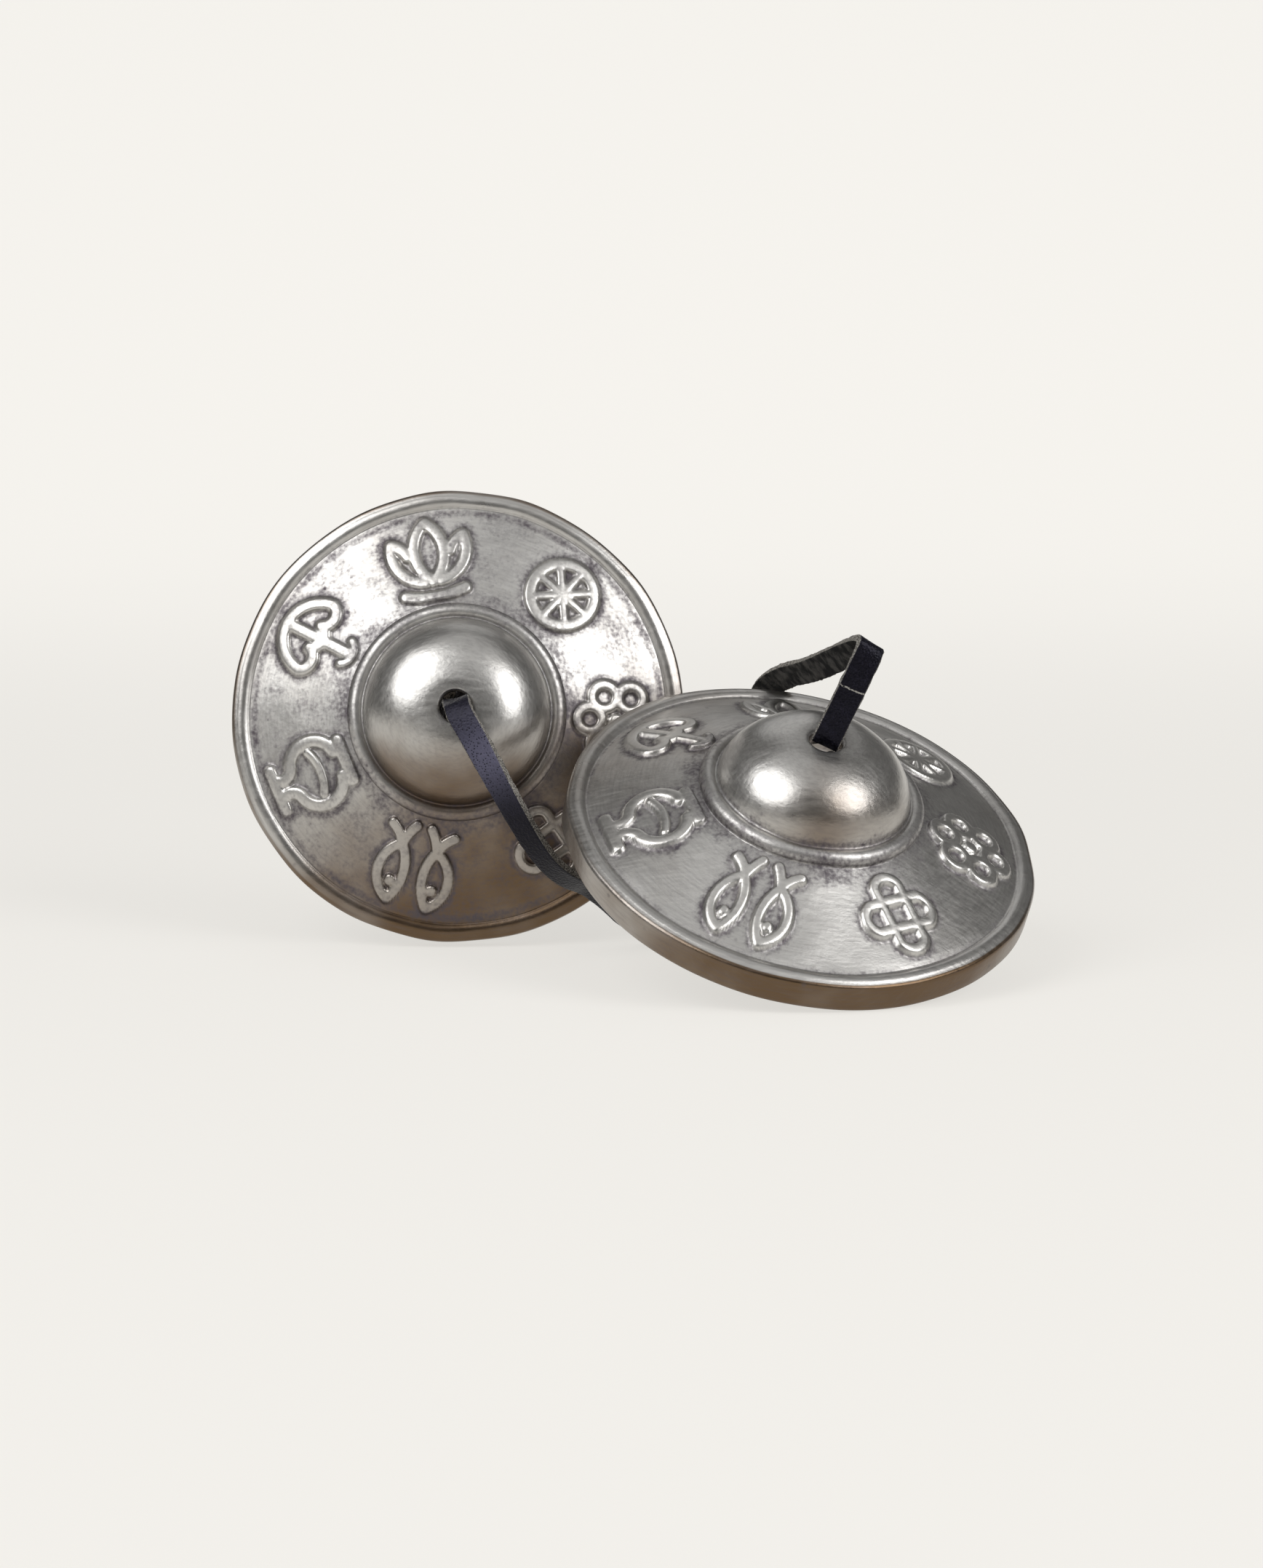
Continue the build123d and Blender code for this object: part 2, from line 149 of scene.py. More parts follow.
def surface(
    name: str, grid: np.ndarray, closed_rows: bool, values: dict[str, np.ndarray],
) -> bpy.types.Object:
    """A mesh object from a grid of points whose columns close into a ring.

    Args:
        name: Name of the object.
        grid: Points, rows by columns by three, in metres.
        closed_rows: True if the last row joins the first, as on a torus.
        values: Named attributes, one value or vector for each point.

    Returns:
        The object, at the origin, with equal points merged.
    """
    rows, columns = grid.shape[:2]
    row = np.arange(rows if closed_rows else rows - 1)[:, None]
    column = np.arange(columns)[None, :]
    ahead, beside = (row + 1) % rows, (column + 1) % columns
    here, there = row * columns, ahead * columns
    corners = np.broadcast_arrays(here + column, here + beside, there + beside, there + column)
    faces = np.stack(corners, axis=-1).reshape(-1, 4)
    mesh = bpy.data.meshes.new(name)
    mesh.vertices.add(rows * columns)
    mesh.vertices.foreach_set("co", grid.astype(np.float32).ravel())
    mesh.loops.add(faces.size)
    mesh.loops.foreach_set("vertex_index", faces.astype(np.int32).ravel())
    mesh.polygons.add(len(faces))
    mesh.polygons.foreach_set("loop_start", np.arange(0, faces.size, 4, dtype=np.int32))
    mesh.polygons.foreach_set("use_smooth", np.ones(len(faces), dtype=bool))
    for label, array in values.items():
        kind = "FLOAT_VECTOR" if array.ndim == 3 else "FLOAT"
        layer = mesh.attributes.new(label, kind, "POINT")
        layer.data.foreach_set("vector" if array.ndim == 3 else "value", array.astype(np.float32).ravel())
    mesh.update(calc_edges=True)
    shell = bmesh.new()
    shell.from_mesh(mesh)
    bmesh.ops.remove_doubles(shell, verts=shell.verts, dist=MERGE_DISTANCE)
    bmesh.ops.recalc_face_normals(shell, faces=shell.faces)
    shell.to_mesh(mesh)
    shell.free()
    return hang(name, mesh)


class Finish:
    """A node material with a Principled shader, and short calls for the nodes that feed it."""

    def __init__(self, name: str) -> None:
        """Start the material.

        Args:
            name: Name of the material.
        """
        self.material = bpy.data.materials.new(name)
        self.material.use_nodes = True
        self.nodes = self.material.node_tree.nodes
        self.links = self.material.node_tree.links
        self.shader = self.nodes["Principled BSDF"]

    def feed(self, target: Socket, value: object) -> None:
        """Link a socket to an input, or set the input's own value.

        Args:
            target: The input.
            value: A socket, or a value that the input takes.
        """
        if isinstance(value, Socket):
            self.links.new(value, target)
        else:
            target.default_value = value

    def add(self, kind: str, **inputs: object) -> bpy.types.Node:
        """A new node.

        Args:
            kind: Type of the node.
            inputs: Its inputs by name, each a socket or a value.

        Returns:
            The node.
        """
        node = self.nodes.new(kind)
        for label, value in inputs.items():
            self.feed(node.inputs[label], value)
        return node

    def dress(self, inputs: dict[str, object]) -> bpy.types.Material:
        """Feed the shader.

        Args:
            inputs: The shader's inputs by name, each a socket or a value.

        Returns:
            The finished material.
        """
        for label, value in inputs.items():
            self.feed(self.shader.inputs[label], value)
        return self.material

    def place(self) -> Socket:
        """Where a point of the piece is, in metres."""
        return self.add("ShaderNodeTexCoord").outputs["Object"]

    def attribute(self, name: str, output: str = "Fac") -> Socket:
        """A value that the mesh carries.

        Args:
            name: Name of the attribute.
            output: Fac for a number, Vector for three.

        Returns:
            The value.
        """
        node = self.add("ShaderNodeAttribute")
        node.attribute_name = name
        return node.outputs[output]

    def stretched(self, vector: Socket, scale: tuple) -> Socket:
        """A place scaled apart along its three axes."""
        return self.add("ShaderNodeMapping", Vector=vector, Scale=scale).outputs["Vector"]

    def noise(self, vector: Socket, scale: float = 1.0, detail: float = 3.0) -> Socket:
        """Soft noise from 0 to 1, with scale cells to the metre."""
        return self.add("ShaderNodeTexNoise", Vector=vector, Scale=scale, Detail=detail).outputs["Fac"]

    def cells(self, vector: Socket, scale: float) -> Socket:
        """Distance to the nearest of scattered points."""
        return self.add("ShaderNodeTexVoronoi", Vector=vector, Scale=scale).outputs["Distance"]

    def math(self, operation: str, *values: object) -> Socket:
        """Result of one Math node.

        Args:
            operation: What it works out.
            values: Its inputs in order, each a socket or a number.

        Returns:
            The result.
        """
        node = self.nodes.new("ShaderNodeMath")
        node.operation = operation
        for target, value in zip(node.inputs, values):
            self.feed(target, value)
        return node.outputs[0]

    def sum_of(self, first: object, second: object, factor: float = 1.0) -> Socket:
        """First plus factor times second."""
        return self.math("MULTIPLY_ADD", second, factor, first)

    def times(self, first: Socket, second: object) -> Socket:
        """Product of two values."""
        return self.math("MULTIPLY", first, second)

    def gap(self, first: Socket, second: object) -> Socket:
        """How far two values are apart."""
        return self.math("ABSOLUTE", self.sum_of(first, second, -1.0))

    def swayed(self, value: Socket, noise: Socket, factor: float) -> Socket:
        """A value moved up and down by noise about its middle."""
        return self.sum_of(value, self.sum_of(-NOISE_MIDDLE, noise), factor)

    def ease(self, value: Socket, low: float, high: float, start: float = 0.0, end: float = 1.0) -> Socket:
        """Ease from one number to another.

        Args:
            value: What is eased.
            low: Value where the result is start.
            high: Value where the result is end.
            start: Result at low.
            end: Result at high.

        Returns:
            The eased number.
        """
        node = self.nodes.new("ShaderNodeMapRange")
        node.interpolation_type = "SMOOTHSTEP"
        for target, entry in zip(node.inputs, (value, low, high, start, end)):
            self.feed(target, entry)
        return node.outputs["Result"]

    def blend(self, share: Socket, first: object, second: object) -> Socket:
        """Colour between two colours.

        Args:
            share: 0 for the first to 1 for the second.
            first: A socket, or red, green and blue.
            second: The same.

        Returns:
            The colour.
        """
        node = self.nodes.new("ShaderNodeMix")
        node.data_type = "RGBA"
        for target, entry in ((0, share), (6, first), (7, second)):
            self.feed(node.inputs[target], (*entry, 1.0) if isinstance(entry, tuple) else entry)
        return node.outputs[2]

    def mixed(self, share: Socket, first: object, second: object) -> Socket:
        """Number between two numbers.

        Args:
            share: 0 for the first to 1 for the second.
            first: A socket or a number.
            second: The same.

        Returns:
            The number.
        """
        node = self.nodes.new("ShaderNodeMix")
        for target, entry in ((0, share), (2, first), (3, second)):
            self.feed(node.inputs[target], entry)
        return node.outputs[0]

    def bump(self, height: Socket, depth: float, strength: float, below: Socket | None = None) -> Socket:
        """A shading normal from a height.

        Args:
            height: Heights from 0 to 1.
            depth: How much a height of 1 stands for, in metres.
            strength: Share of it that shows.
            below: Normal that this one is laid on.

        Returns:
            The normal.
        """
        node = self.add("ShaderNodeBump", Height=height, Distance=depth, Strength=strength)
        if below is not None:
            self.feed(node.inputs["Normal"], below)
        return node.outputs["Normal"]


@dataclass(frozen=True)
class BellMetal:
    """Old cast bell metal: silvery where it is rubbed, brown where tarnished and where shade and reflection
    are painted in, nearly black in the recesses.

    Noises are cells to the metre and detail, edges are where a value starts and ends to count, and bumps are
    a depth in metres and a strength.
    """

    silver: tuple = (0.60, 0.588, 0.565)
    rubbed: tuple = (0.70, 0.685, 0.65)
    # Brown of real tarnish and of painted shade and reflection.
    tarnish_shade_brown: tuple = (0.150, 0.099, 0.058)
    recess: tuple = (0.125, 0.110, 0.122)
    polished_roughness: float = 0.32
    cast_roughness: float = 0.36
    recess_roughness: float = 0.60
    rubbing_roughness: float = 0.22
    speckle_noise: tuple = (1700.0, 5.0)
    speckle_share: float = 1.1
    speckle_bump: tuple = (0.06 * MM, 0.35)
    cloud_noise: tuple = (260.0, 5.0)
    cloud_share: float = 1.0
    grime_edge: tuple = (0.18, 1.15)
    blotch_noise: tuple = (62.0, 3.0)
    blotch_share: float = 1.1
    tarnish_shade_edge: tuple = (0.05, 1.0)
    pit_cells: float = 330.0
    pit_edge: tuple = (0.05, 0.16)
    pit_cloud_edge: tuple = (0.44, 0.66)
    pit_depth: float = 0.50
    turning_marks: tuple = (9.0, 9.0, 2600.0)
    turning_detail: float = 3.0
    turning_edge: tuple = (0.35, 0.75)
    turning_depth: float = 0.20
    turning_bump: tuple = (0.03 * MM, 0.40)
    rubbing_marks: tuple = (240.0, 2600.0, 900.0)
    rubbing_detail: float = 2.0
    rubbing_edge: tuple = (0.50, 0.72)
    rubbing_fade_edge: tuple = (0.0, 0.6)
    rubbing_depths: tuple = (0.12, 0.015)
    rubbing_bump: tuple = (0.03 * MM, 0.40)
    raised_shine: float = 0.40
    dent_noise: tuple = (330.0, 4.0)
    dent_bump: tuple = (0.10 * MM, 0.40)

    def material(self) -> bpy.types.Material:
        """Node material that reads the casting's own patina, raised and polish values, and its brown of
        tarnish and painted shade.

        Returns:
            The material.
        """
        finish = Finish("bell_metal")
        place = finish.place()
        patina = finish.attribute("patina")
        raised = finish.attribute("raised")
        polish = finish.attribute("polish")
        tarnish_shade = finish.attribute("tarnish_shade")
        ring_place = finish.attribute("ring_place", "Vector")
        speckle = finish.noise(place, *self.speckle_noise)
        cloud = finish.noise(place, *self.cloud_noise)
        blotch = finish.noise(place, *self.blotch_noise)
        turned = finish.noise(finish.stretched(ring_place, self.turning_marks), detail=self.turning_detail)
        rubbed = finish.noise(finish.stretched(place, self.rubbing_marks), detail=self.rubbing_detail)
        dents = finish.noise(place, *self.dent_noise)
        pits = finish.ease(finish.cells(place, self.pit_cells), *self.pit_edge, 1.0, 0.0)
        grime = finish.swayed(patina, speckle, self.speckle_share)
        grime = finish.swayed(grime, cloud, self.cloud_share)
        pitted = finish.times(pits, finish.ease(cloud, *self.pit_cloud_edge))
        dark = finish.sum_of(finish.ease(grime, *self.grime_edge), pitted, self.pit_depth)
        # Painted shade and reflection, with some real tarnish: brown laid on by the casting's tarnish value
        # and random blotches; rubbing marks fade where it is brown.
        tarnish_shade_share = finish.ease(finish.swayed(tarnish_shade, blotch, self.blotch_share), *self.tarnish_shade_edge)
        colour = finish.blend(tarnish_shade_share, self.silver, self.tarnish_shade_brown)
        rings = finish.times(finish.ease(turned, *self.turning_edge), self.turning_depth)
        colour = finish.blend(rings, colour, self.recess)
        fading = finish.ease(tarnish_shade_share, *self.rubbing_fade_edge, *self.rubbing_depths)
        marks = finish.times(finish.ease(rubbed, *self.rubbing_edge), fading)
        colour = finish.blend(marks, colour, self.rubbed)
        colour = finish.blend(finish.times(raised, self.raised_shine), colour, self.rubbed)
        smooth = finish.mixed(polish, self.cast_roughness, self.polished_roughness)
        smooth = finish.swayed(smooth, rubbed, self.rubbing_roughness)
        normal = finish.bump(dents, *self.dent_bump)
        normal = finish.bump(turned, *self.turning_bump, normal)
        normal = finish.bump(rubbed, *self.rubbing_bump, normal)
        return finish.dress({
            "Base Color": finish.blend(dark, colour, self.recess),
            "Roughness": finish.mixed(dark, smooth, self.recess_roughness),
            "Normal": finish.bump(speckle, *self.speckle_bump, normal),
            "Metallic": 1.0,
        })


@dataclass(frozen=True)
class LaceLeather:
    """Black lace leather: pebbled grain side with a painted bluish sheen, mottled suede back, pale fuzzy cut
    edges.

    Noises, edges and bumps are as on the bell metal.
    """

    grain: tuple = (0.0034, 0.0032, 0.0056)
    grain_worn: tuple = (0.016, 0.015, 0.025)
    # Lighter bluish grain for a painted sheen.
    grain_sheen: tuple = (0.145, 0.141, 0.205)
    grain_roughness: tuple = (0.25, 0.42)
    grain_edge: tuple = (0.45, 0.75)
    grain_fray: float = 0.4
    gloss: float = 0.17
    gloss_tint: tuple = (0.84, 0.82, 1.0)
    suede: tuple = (0.018, 0.018, 0.017)
    suede_rubbed: tuple = (0.105, 0.101, 0.093)
    suede_roughness: float = 0.95
    suede_edge: tuple = (-0.75, -0.45)
    cut_edge: tuple = (0.070, 0.064, 0.058)
    cut_fuzz: tuple = (0.44, 0.42, 0.38)
    fuzz_edge: tuple = (0.36, 0.66)
    pebble_cells: float = 2700.0
    pebble_bump: tuple = (0.10 * MM, 0.60)
    fibre_noise: tuple = (5200.0, 3.0)
    fibre_bump: tuple = (0.05 * MM, 0.40)
    fibre_polish_edge: tuple = (0.2, 0.8)
    mottle_noise: tuple = (640.0, 4.0)
    worn_mottle: float = 0.5
    worn_edge: tuple = (0.70, 1.02)
    rubbed_fibre: float = 0.25
    rubbed_edge: tuple = (0.50, 0.84)
    sheen_edge: tuple = (0.10, 0.42)
    crease_wander: float = 1.1 * MM
    crease_line: tuple = (0.05 * MM, 0.16 * MM)
    crease_break_edge: tuple = (0.30, 0.55)

    def material(self) -> bpy.types.Material:
        """Node material that reads which side of the lace a point is on, where it is creased, and where a
        sheen is painted on the grain.

        Returns:
            The material.
        """
        finish = Finish("lace_leather")
        place = finish.place()
        side = finish.attribute("side")
        crease = finish.attribute("crease")
        painted_sheen = finish.attribute("painted_sheen")
        pebble = finish.cells(place, self.pebble_cells)
        fibre = finish.noise(place, *self.fibre_noise)
        mottle = finish.noise(place, *self.mottle_noise)
        is_grain = finish.ease(finish.swayed(side, fibre, self.grain_fray), *self.grain_edge)
        is_suede = finish.ease(side, *self.suede_edge, 1.0, 0.0)
        worn = finish.ease(finish.sum_of(fibre, mottle, self.worn_mottle), *self.worn_edge)
        wander = finish.swayed(crease, mottle, self.crease_wander)
        cracked = finish.ease(finish.gap(wander, 0.0), *self.crease_line, 1.0, 0.0)
        cracked = finish.times(cracked, finish.ease(fibre, *self.crease_break_edge))
        grain = finish.blend(worn, self.grain, self.grain_worn)
        # Painted sheen: the grain turns lighter and bluish on the pebbles' tops where the lace's sheen value
        # is high.
        sheen_share = finish.times(painted_sheen, finish.ease(pebble, *self.sheen_edge))
        grain = finish.blend(sheen_share, grain, self.grain_sheen)
        grain = finish.blend(cracked, grain, self.cut_fuzz)
        rubbed = finish.ease(finish.sum_of(mottle, fibre, self.rubbed_fibre), *self.rubbed_edge)
        suede = finish.blend(rubbed, self.suede, self.suede_rubbed)
        edge = finish.blend(finish.ease(fibre, *self.fuzz_edge), self.cut_edge, self.cut_fuzz)
        polish = finish.ease(fibre, *self.fibre_polish_edge, *self.grain_roughness)
        pebbled = finish.bump(pebble, *self.pebble_bump)
        return finish.dress({
            "Base Color": finish.blend(is_suede, finish.blend(is_grain, edge, grain), suede),
            "Roughness": finish.mixed(is_grain, self.suede_roughness, polish),
            "Normal": finish.bump(fibre, *self.fibre_bump, pebbled),
            "Specular IOR Level": self.gloss,
            "Specular Tint": (*self.gloss_tint, 1.0),
        })


@dataclass(frozen=True)
class PalePaper:
    """Seamless cream paper, which shows the object's shadow."""

    colour: tuple = (0.900, 0.880, 0.838)
    table_light: float = 0.73
    wall_light: float = 0.91
    brightening: tuple = (0.05, 0.85)
    lit_share: float = 0.28

    def material(self) -> bpy.types.Material:
        """Diffuse paper with an even glow that the camera, gloss and glass see, stronger towards the back.

        Returns:
            The material.
        """
        finish = Finish("pale_paper")
        spread = finish.add("ShaderNodeSeparateXYZ", Vector=finish.place())
        own_light = finish.ease(spread.outputs["Y"], *self.brightening, self.table_light, self.wall_light)
        rays = finish.add("ShaderNodeLightPath")
        seen = finish.sum_of(rays.outputs["Is Camera Ray"], rays.outputs["Is Glossy Ray"])
        seen = finish.sum_of(seen, rays.outputs["Is Transmission Ray"])
        lit = tuple(value * self.lit_share for value in self.colour)
        return finish.dress({
            "Base Color": (*lit, 1.0),
            "Roughness": 1.0,
            "Specular IOR Level": 0.0,
            "Emission Color": (*self.colour, 1.0),
            "Emission Strength": finish.times(seen, own_light),
        })


@dataclass(frozen=True)
class Stroke:
    """One raised line of the ornament, in millimetres: an arc through three points, or a bar between two."""

    points: tuple
    width: float = BOLD

    def mirrored(self) -> Stroke:
        """The stroke across the motif's middle line."""
        return Stroke(tuple((-x, y) for x, y in self.points), self.width)

    def distance(self, x: np.ndarray, y: np.ndarray) -> np.ndarray:
        """Distance to the stroke's middle line, as a share of its half width.

        Args:
            x: Places across the motif.
            y: Places along the motif.

        Returns:
            Shares: 0 on the line and 1 at the stroke's edge.
        """
        place = np.stack([x, y], axis=-1)
        start, end = np.asarray(self.points[0]), np.asarray(self.points[-1])
        if len(self.points) == 2:
            along = end - start
            share = np.clip((place - start) @ along / (along @ along), 0, 1)
            away = np.linalg.norm(place - start - share[..., None] * along, axis=-1)
        else:
            centre, radius, first, sweep = circle_through(*self.points)
            angle = np.arctan2(y - centre[1], x - centre[0])
            turned = ((angle - first) * math.copysign(1, sweep)) % (2 * math.pi)
            on_arc = np.abs(np.linalg.norm(place - centre, axis=-1) - radius)
            ends = [np.linalg.norm(place - tip, axis=-1) for tip in (start, end)]
            away = np.where(turned <= abs(sweep), on_arc, np.minimum(*ends))
        return away / (self.width / 2)


def pair(*points: tuple, width: float = BOLD) -> list[Stroke]:
    """A stroke and its mirror image."""
    stroke = Stroke(points, width)
    return [stroke, stroke.mirrored()]


def ring(x: float, y: float, radius: float, width: float) -> Stroke:
    """A raised ring about a point, as an arc that all but closes."""
    gap = 0.01
    return Stroke(((x - gap, y + radius), (x, y - radius), (x + gap, y + radius)), width)


def dot(x: float, y: float, radius: float) -> Stroke:
    """A raised round dot, as a very short bar."""
    reach = 0.1
    return Stroke(((x, y - reach), (x, y + reach)), 2 * radius)


def around(count: int, radius: float, start: float) -> list[tuple[float, float]]:
    """Points spread evenly round a circle.

    Args:
        count: How many.
        radius: Radius of the circle.
        start: Angle of the first, in degrees.

    Returns:
        Across and along of each point.
    """
    turns = np.radians(start + np.arange(count) * (360 / count))
    return [(radius * math.cos(turn), radius * math.sin(turn)) for turn in turns]


class Motif(Enum):
    """The seven traditional signs round the flange."""

    LOTUS = "lotus"
    WHEEL = "wheel"
    BLOSSOM = "blossom"
    ENDLESS_KNOT = "endless knot"
    TWO_FISH = "two fish"
    VASE = "vase"
    PARASOL = "parasol"

    def strokes(self) -> list[Stroke]:
        """The raised lines of the sign, in millimetres about its middle, with its top towards the rim.

        Returns:
            The strokes.
        """
        if self is Motif.LOTUS:
            petals = pair((0, -3.8), (2.3, 1.0), (0, 5.8)) + pair((1.2, -3.8), (5.0, -1.4), (5.6, 3.0))
            tips = pair((5.6, 3.0), (4.3, 2.2), (3.3, 0.8))
            return petals + tips + [Stroke(((-4.6, -5.6), (0, -6.3), (4.6, -5.6)))]
        if self is Motif.WHEEL:
            radius = 4.9
            rim = pair((0, radius), (radius, 0), (0, -radius))
            spokes = [Stroke(((0, 0), end), THIN) for end in around(8, radius, 0)]
            return rim + spokes + [dot(0, 0, 1.7)]
        if self is Motif.BLOSSOM:
            return [ring(*middle, 1.9, FINE) for middle in around(6, 4.1, 90)] + [dot(0, 0, 1.0)]
        if self is Motif.ENDLESS_KNOT:
            rails = [((-4.1, 2.0), (4.1, 2.0)), ((-4.1, -2.0), (4.1, -2.0))]
            ends = [((4.1, 2.0), (5.4, 0.0), (4.1, -2.0)), ((-4.1, 2.0), (-5.4, 0.0), (-4.1, -2.0))]
            loop = rails + ends
            crossing = [tuple((y, x) for x, y in points) for points in loop]
            return [Stroke(points, FINE) for points in loop + crossing]
        if self is Motif.TWO_FISH:
            bodies = pair((2.7, -3.0), (1.5, 1.3), (3.1, 5.7), width=FINE)
            bodies += pair((2.7, -3.0), (5.5, 1.3), (3.1, 5.7), width=FINE)
            tails = pair((2.7, -3.0), (2.1, -4.6), (1.2, -6.0), width=FINE)
            tails += pair((2.7, -3.0), (3.6, -4.5), (4.8, -5.6), width=FINE)
            return bodies + tails + [dot(-3.3, 2.9, 0.7), dot(3.3, 2.9, 0.7)]
        if self is Motif.VASE:
            neck = pair((1.3, 5.2), (1.2, 3.6), (2.6, 2.4)) + pair((2.6, 2.4), (5.0, -1.2), (2.0, -4.6))
            bars = [Stroke(((-3.2, 5.6), (3.2, 5.6))), Stroke(((-3.2, -5.8), (3.2, -5.8)))]
            return neck + bars + [Stroke(((-3.4, -0.9), (0, -1.7), (3.4, -0.9)), THIN)]
        hem = pair((5.6, 0.4), (3.7, -0.9), (1.9, 0.4)) + [Stroke(((-1.9, 0.4), (0, -0.9), (1.9, 0.4)))]
        canopy = [Stroke(((-5.6, 0.4), (0, 5.4), (5.6, 0.4))), Stroke(((0, 5.4), (0, -6.0)))]
        return hem + canopy + [Stroke(((-1.9, -5.0), (0, -6.2), (1.9, -5.0)), THIN)]


@dataclass
class Place:
    """Where a cymbal stands: its crown hole and its axis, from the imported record."""

    side: Side

    def __post_init__(self) -> None:
        """Read the hole and the axis, and take a level direction for the cymbal's own x."""
        joints = {joint["name"]: joint for joint in frame["record"]["behaviour"]["joints"]}
        spin = joints[f"{self.side.value}_spin"]
        self.hole = np.asarray(spin["pos_m"])
        self.axis = unit(np.asarray(spin["axis"]))
        level = unit(np.cross((0.0, 0.0, 1.0), self.axis))
        self.turn = np.stack([level, np.cross(self.axis, level), self.axis])

    def to_world(self, local: np.ndarray, crown: float) -> np.ndarray:
        """Points of the cymbal's own frame, in millimetres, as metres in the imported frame."""
        return self.hole + ((local - (0.0, 0.0, crown)) * MM) @ self.turn


@dataclass(frozen=True)
class WearAndShade:
    """How a casting is worn, and where brown shade and reflection are painted into it: depths from 0 to 1,
    widths in millimetres and the side with the most painted shade in degrees.
    """

    # Painted shade and reflection: the flange's side where the brown is strongest, how deep it is there, and
    # how deep it is low on the dome.
    shaded_side: float
    shade_depth: float
    dome_low_shade: float
    seed: int
    new_metal: float = 0.12
    rim_waver: float = 0.10
    # Painted reflection round the rim's band, darker towards the band's foot; the underside's brown is
    # tarnish.
    band_shade: float = 0.56
    band_low_shade: float = 0.38
    underside_age: float = 0.62
    relief_grime: float = 0.84
    relief_grime_width: float = 1.30
    flange_grime: float = 0.20
    underside_grime: float = 0.42
    shoulder_line: tuple = (0.20, 0.80, 0.74)
    shoulder_cloud: tuple = (0.80, 2.60, 0.64)
    dome_line: tuple = (-0.10, 0.30, 0.66)
    rim_line: tuple = (-0.20, 0.60, 0.52)
    hole_line: tuple = (0.00, 0.90, 0.45)
    dome_polish: float = 0.90
    flange_polish: float = 0.25
    raised_polish: float = 0.70
    wobble: float = 0.055
    wobble_lengths: tuple = (7.0, 30.0, 14)
    rim_waves: tuple = (3, 20, 2)
    shade_reach: tuple = (-0.10, 0.75)
    dome_reach: tuple = (0.0, 0.85)
    foot_reach: tuple = (0.35, 1.0)
    flange_grime_start: float = 2.0


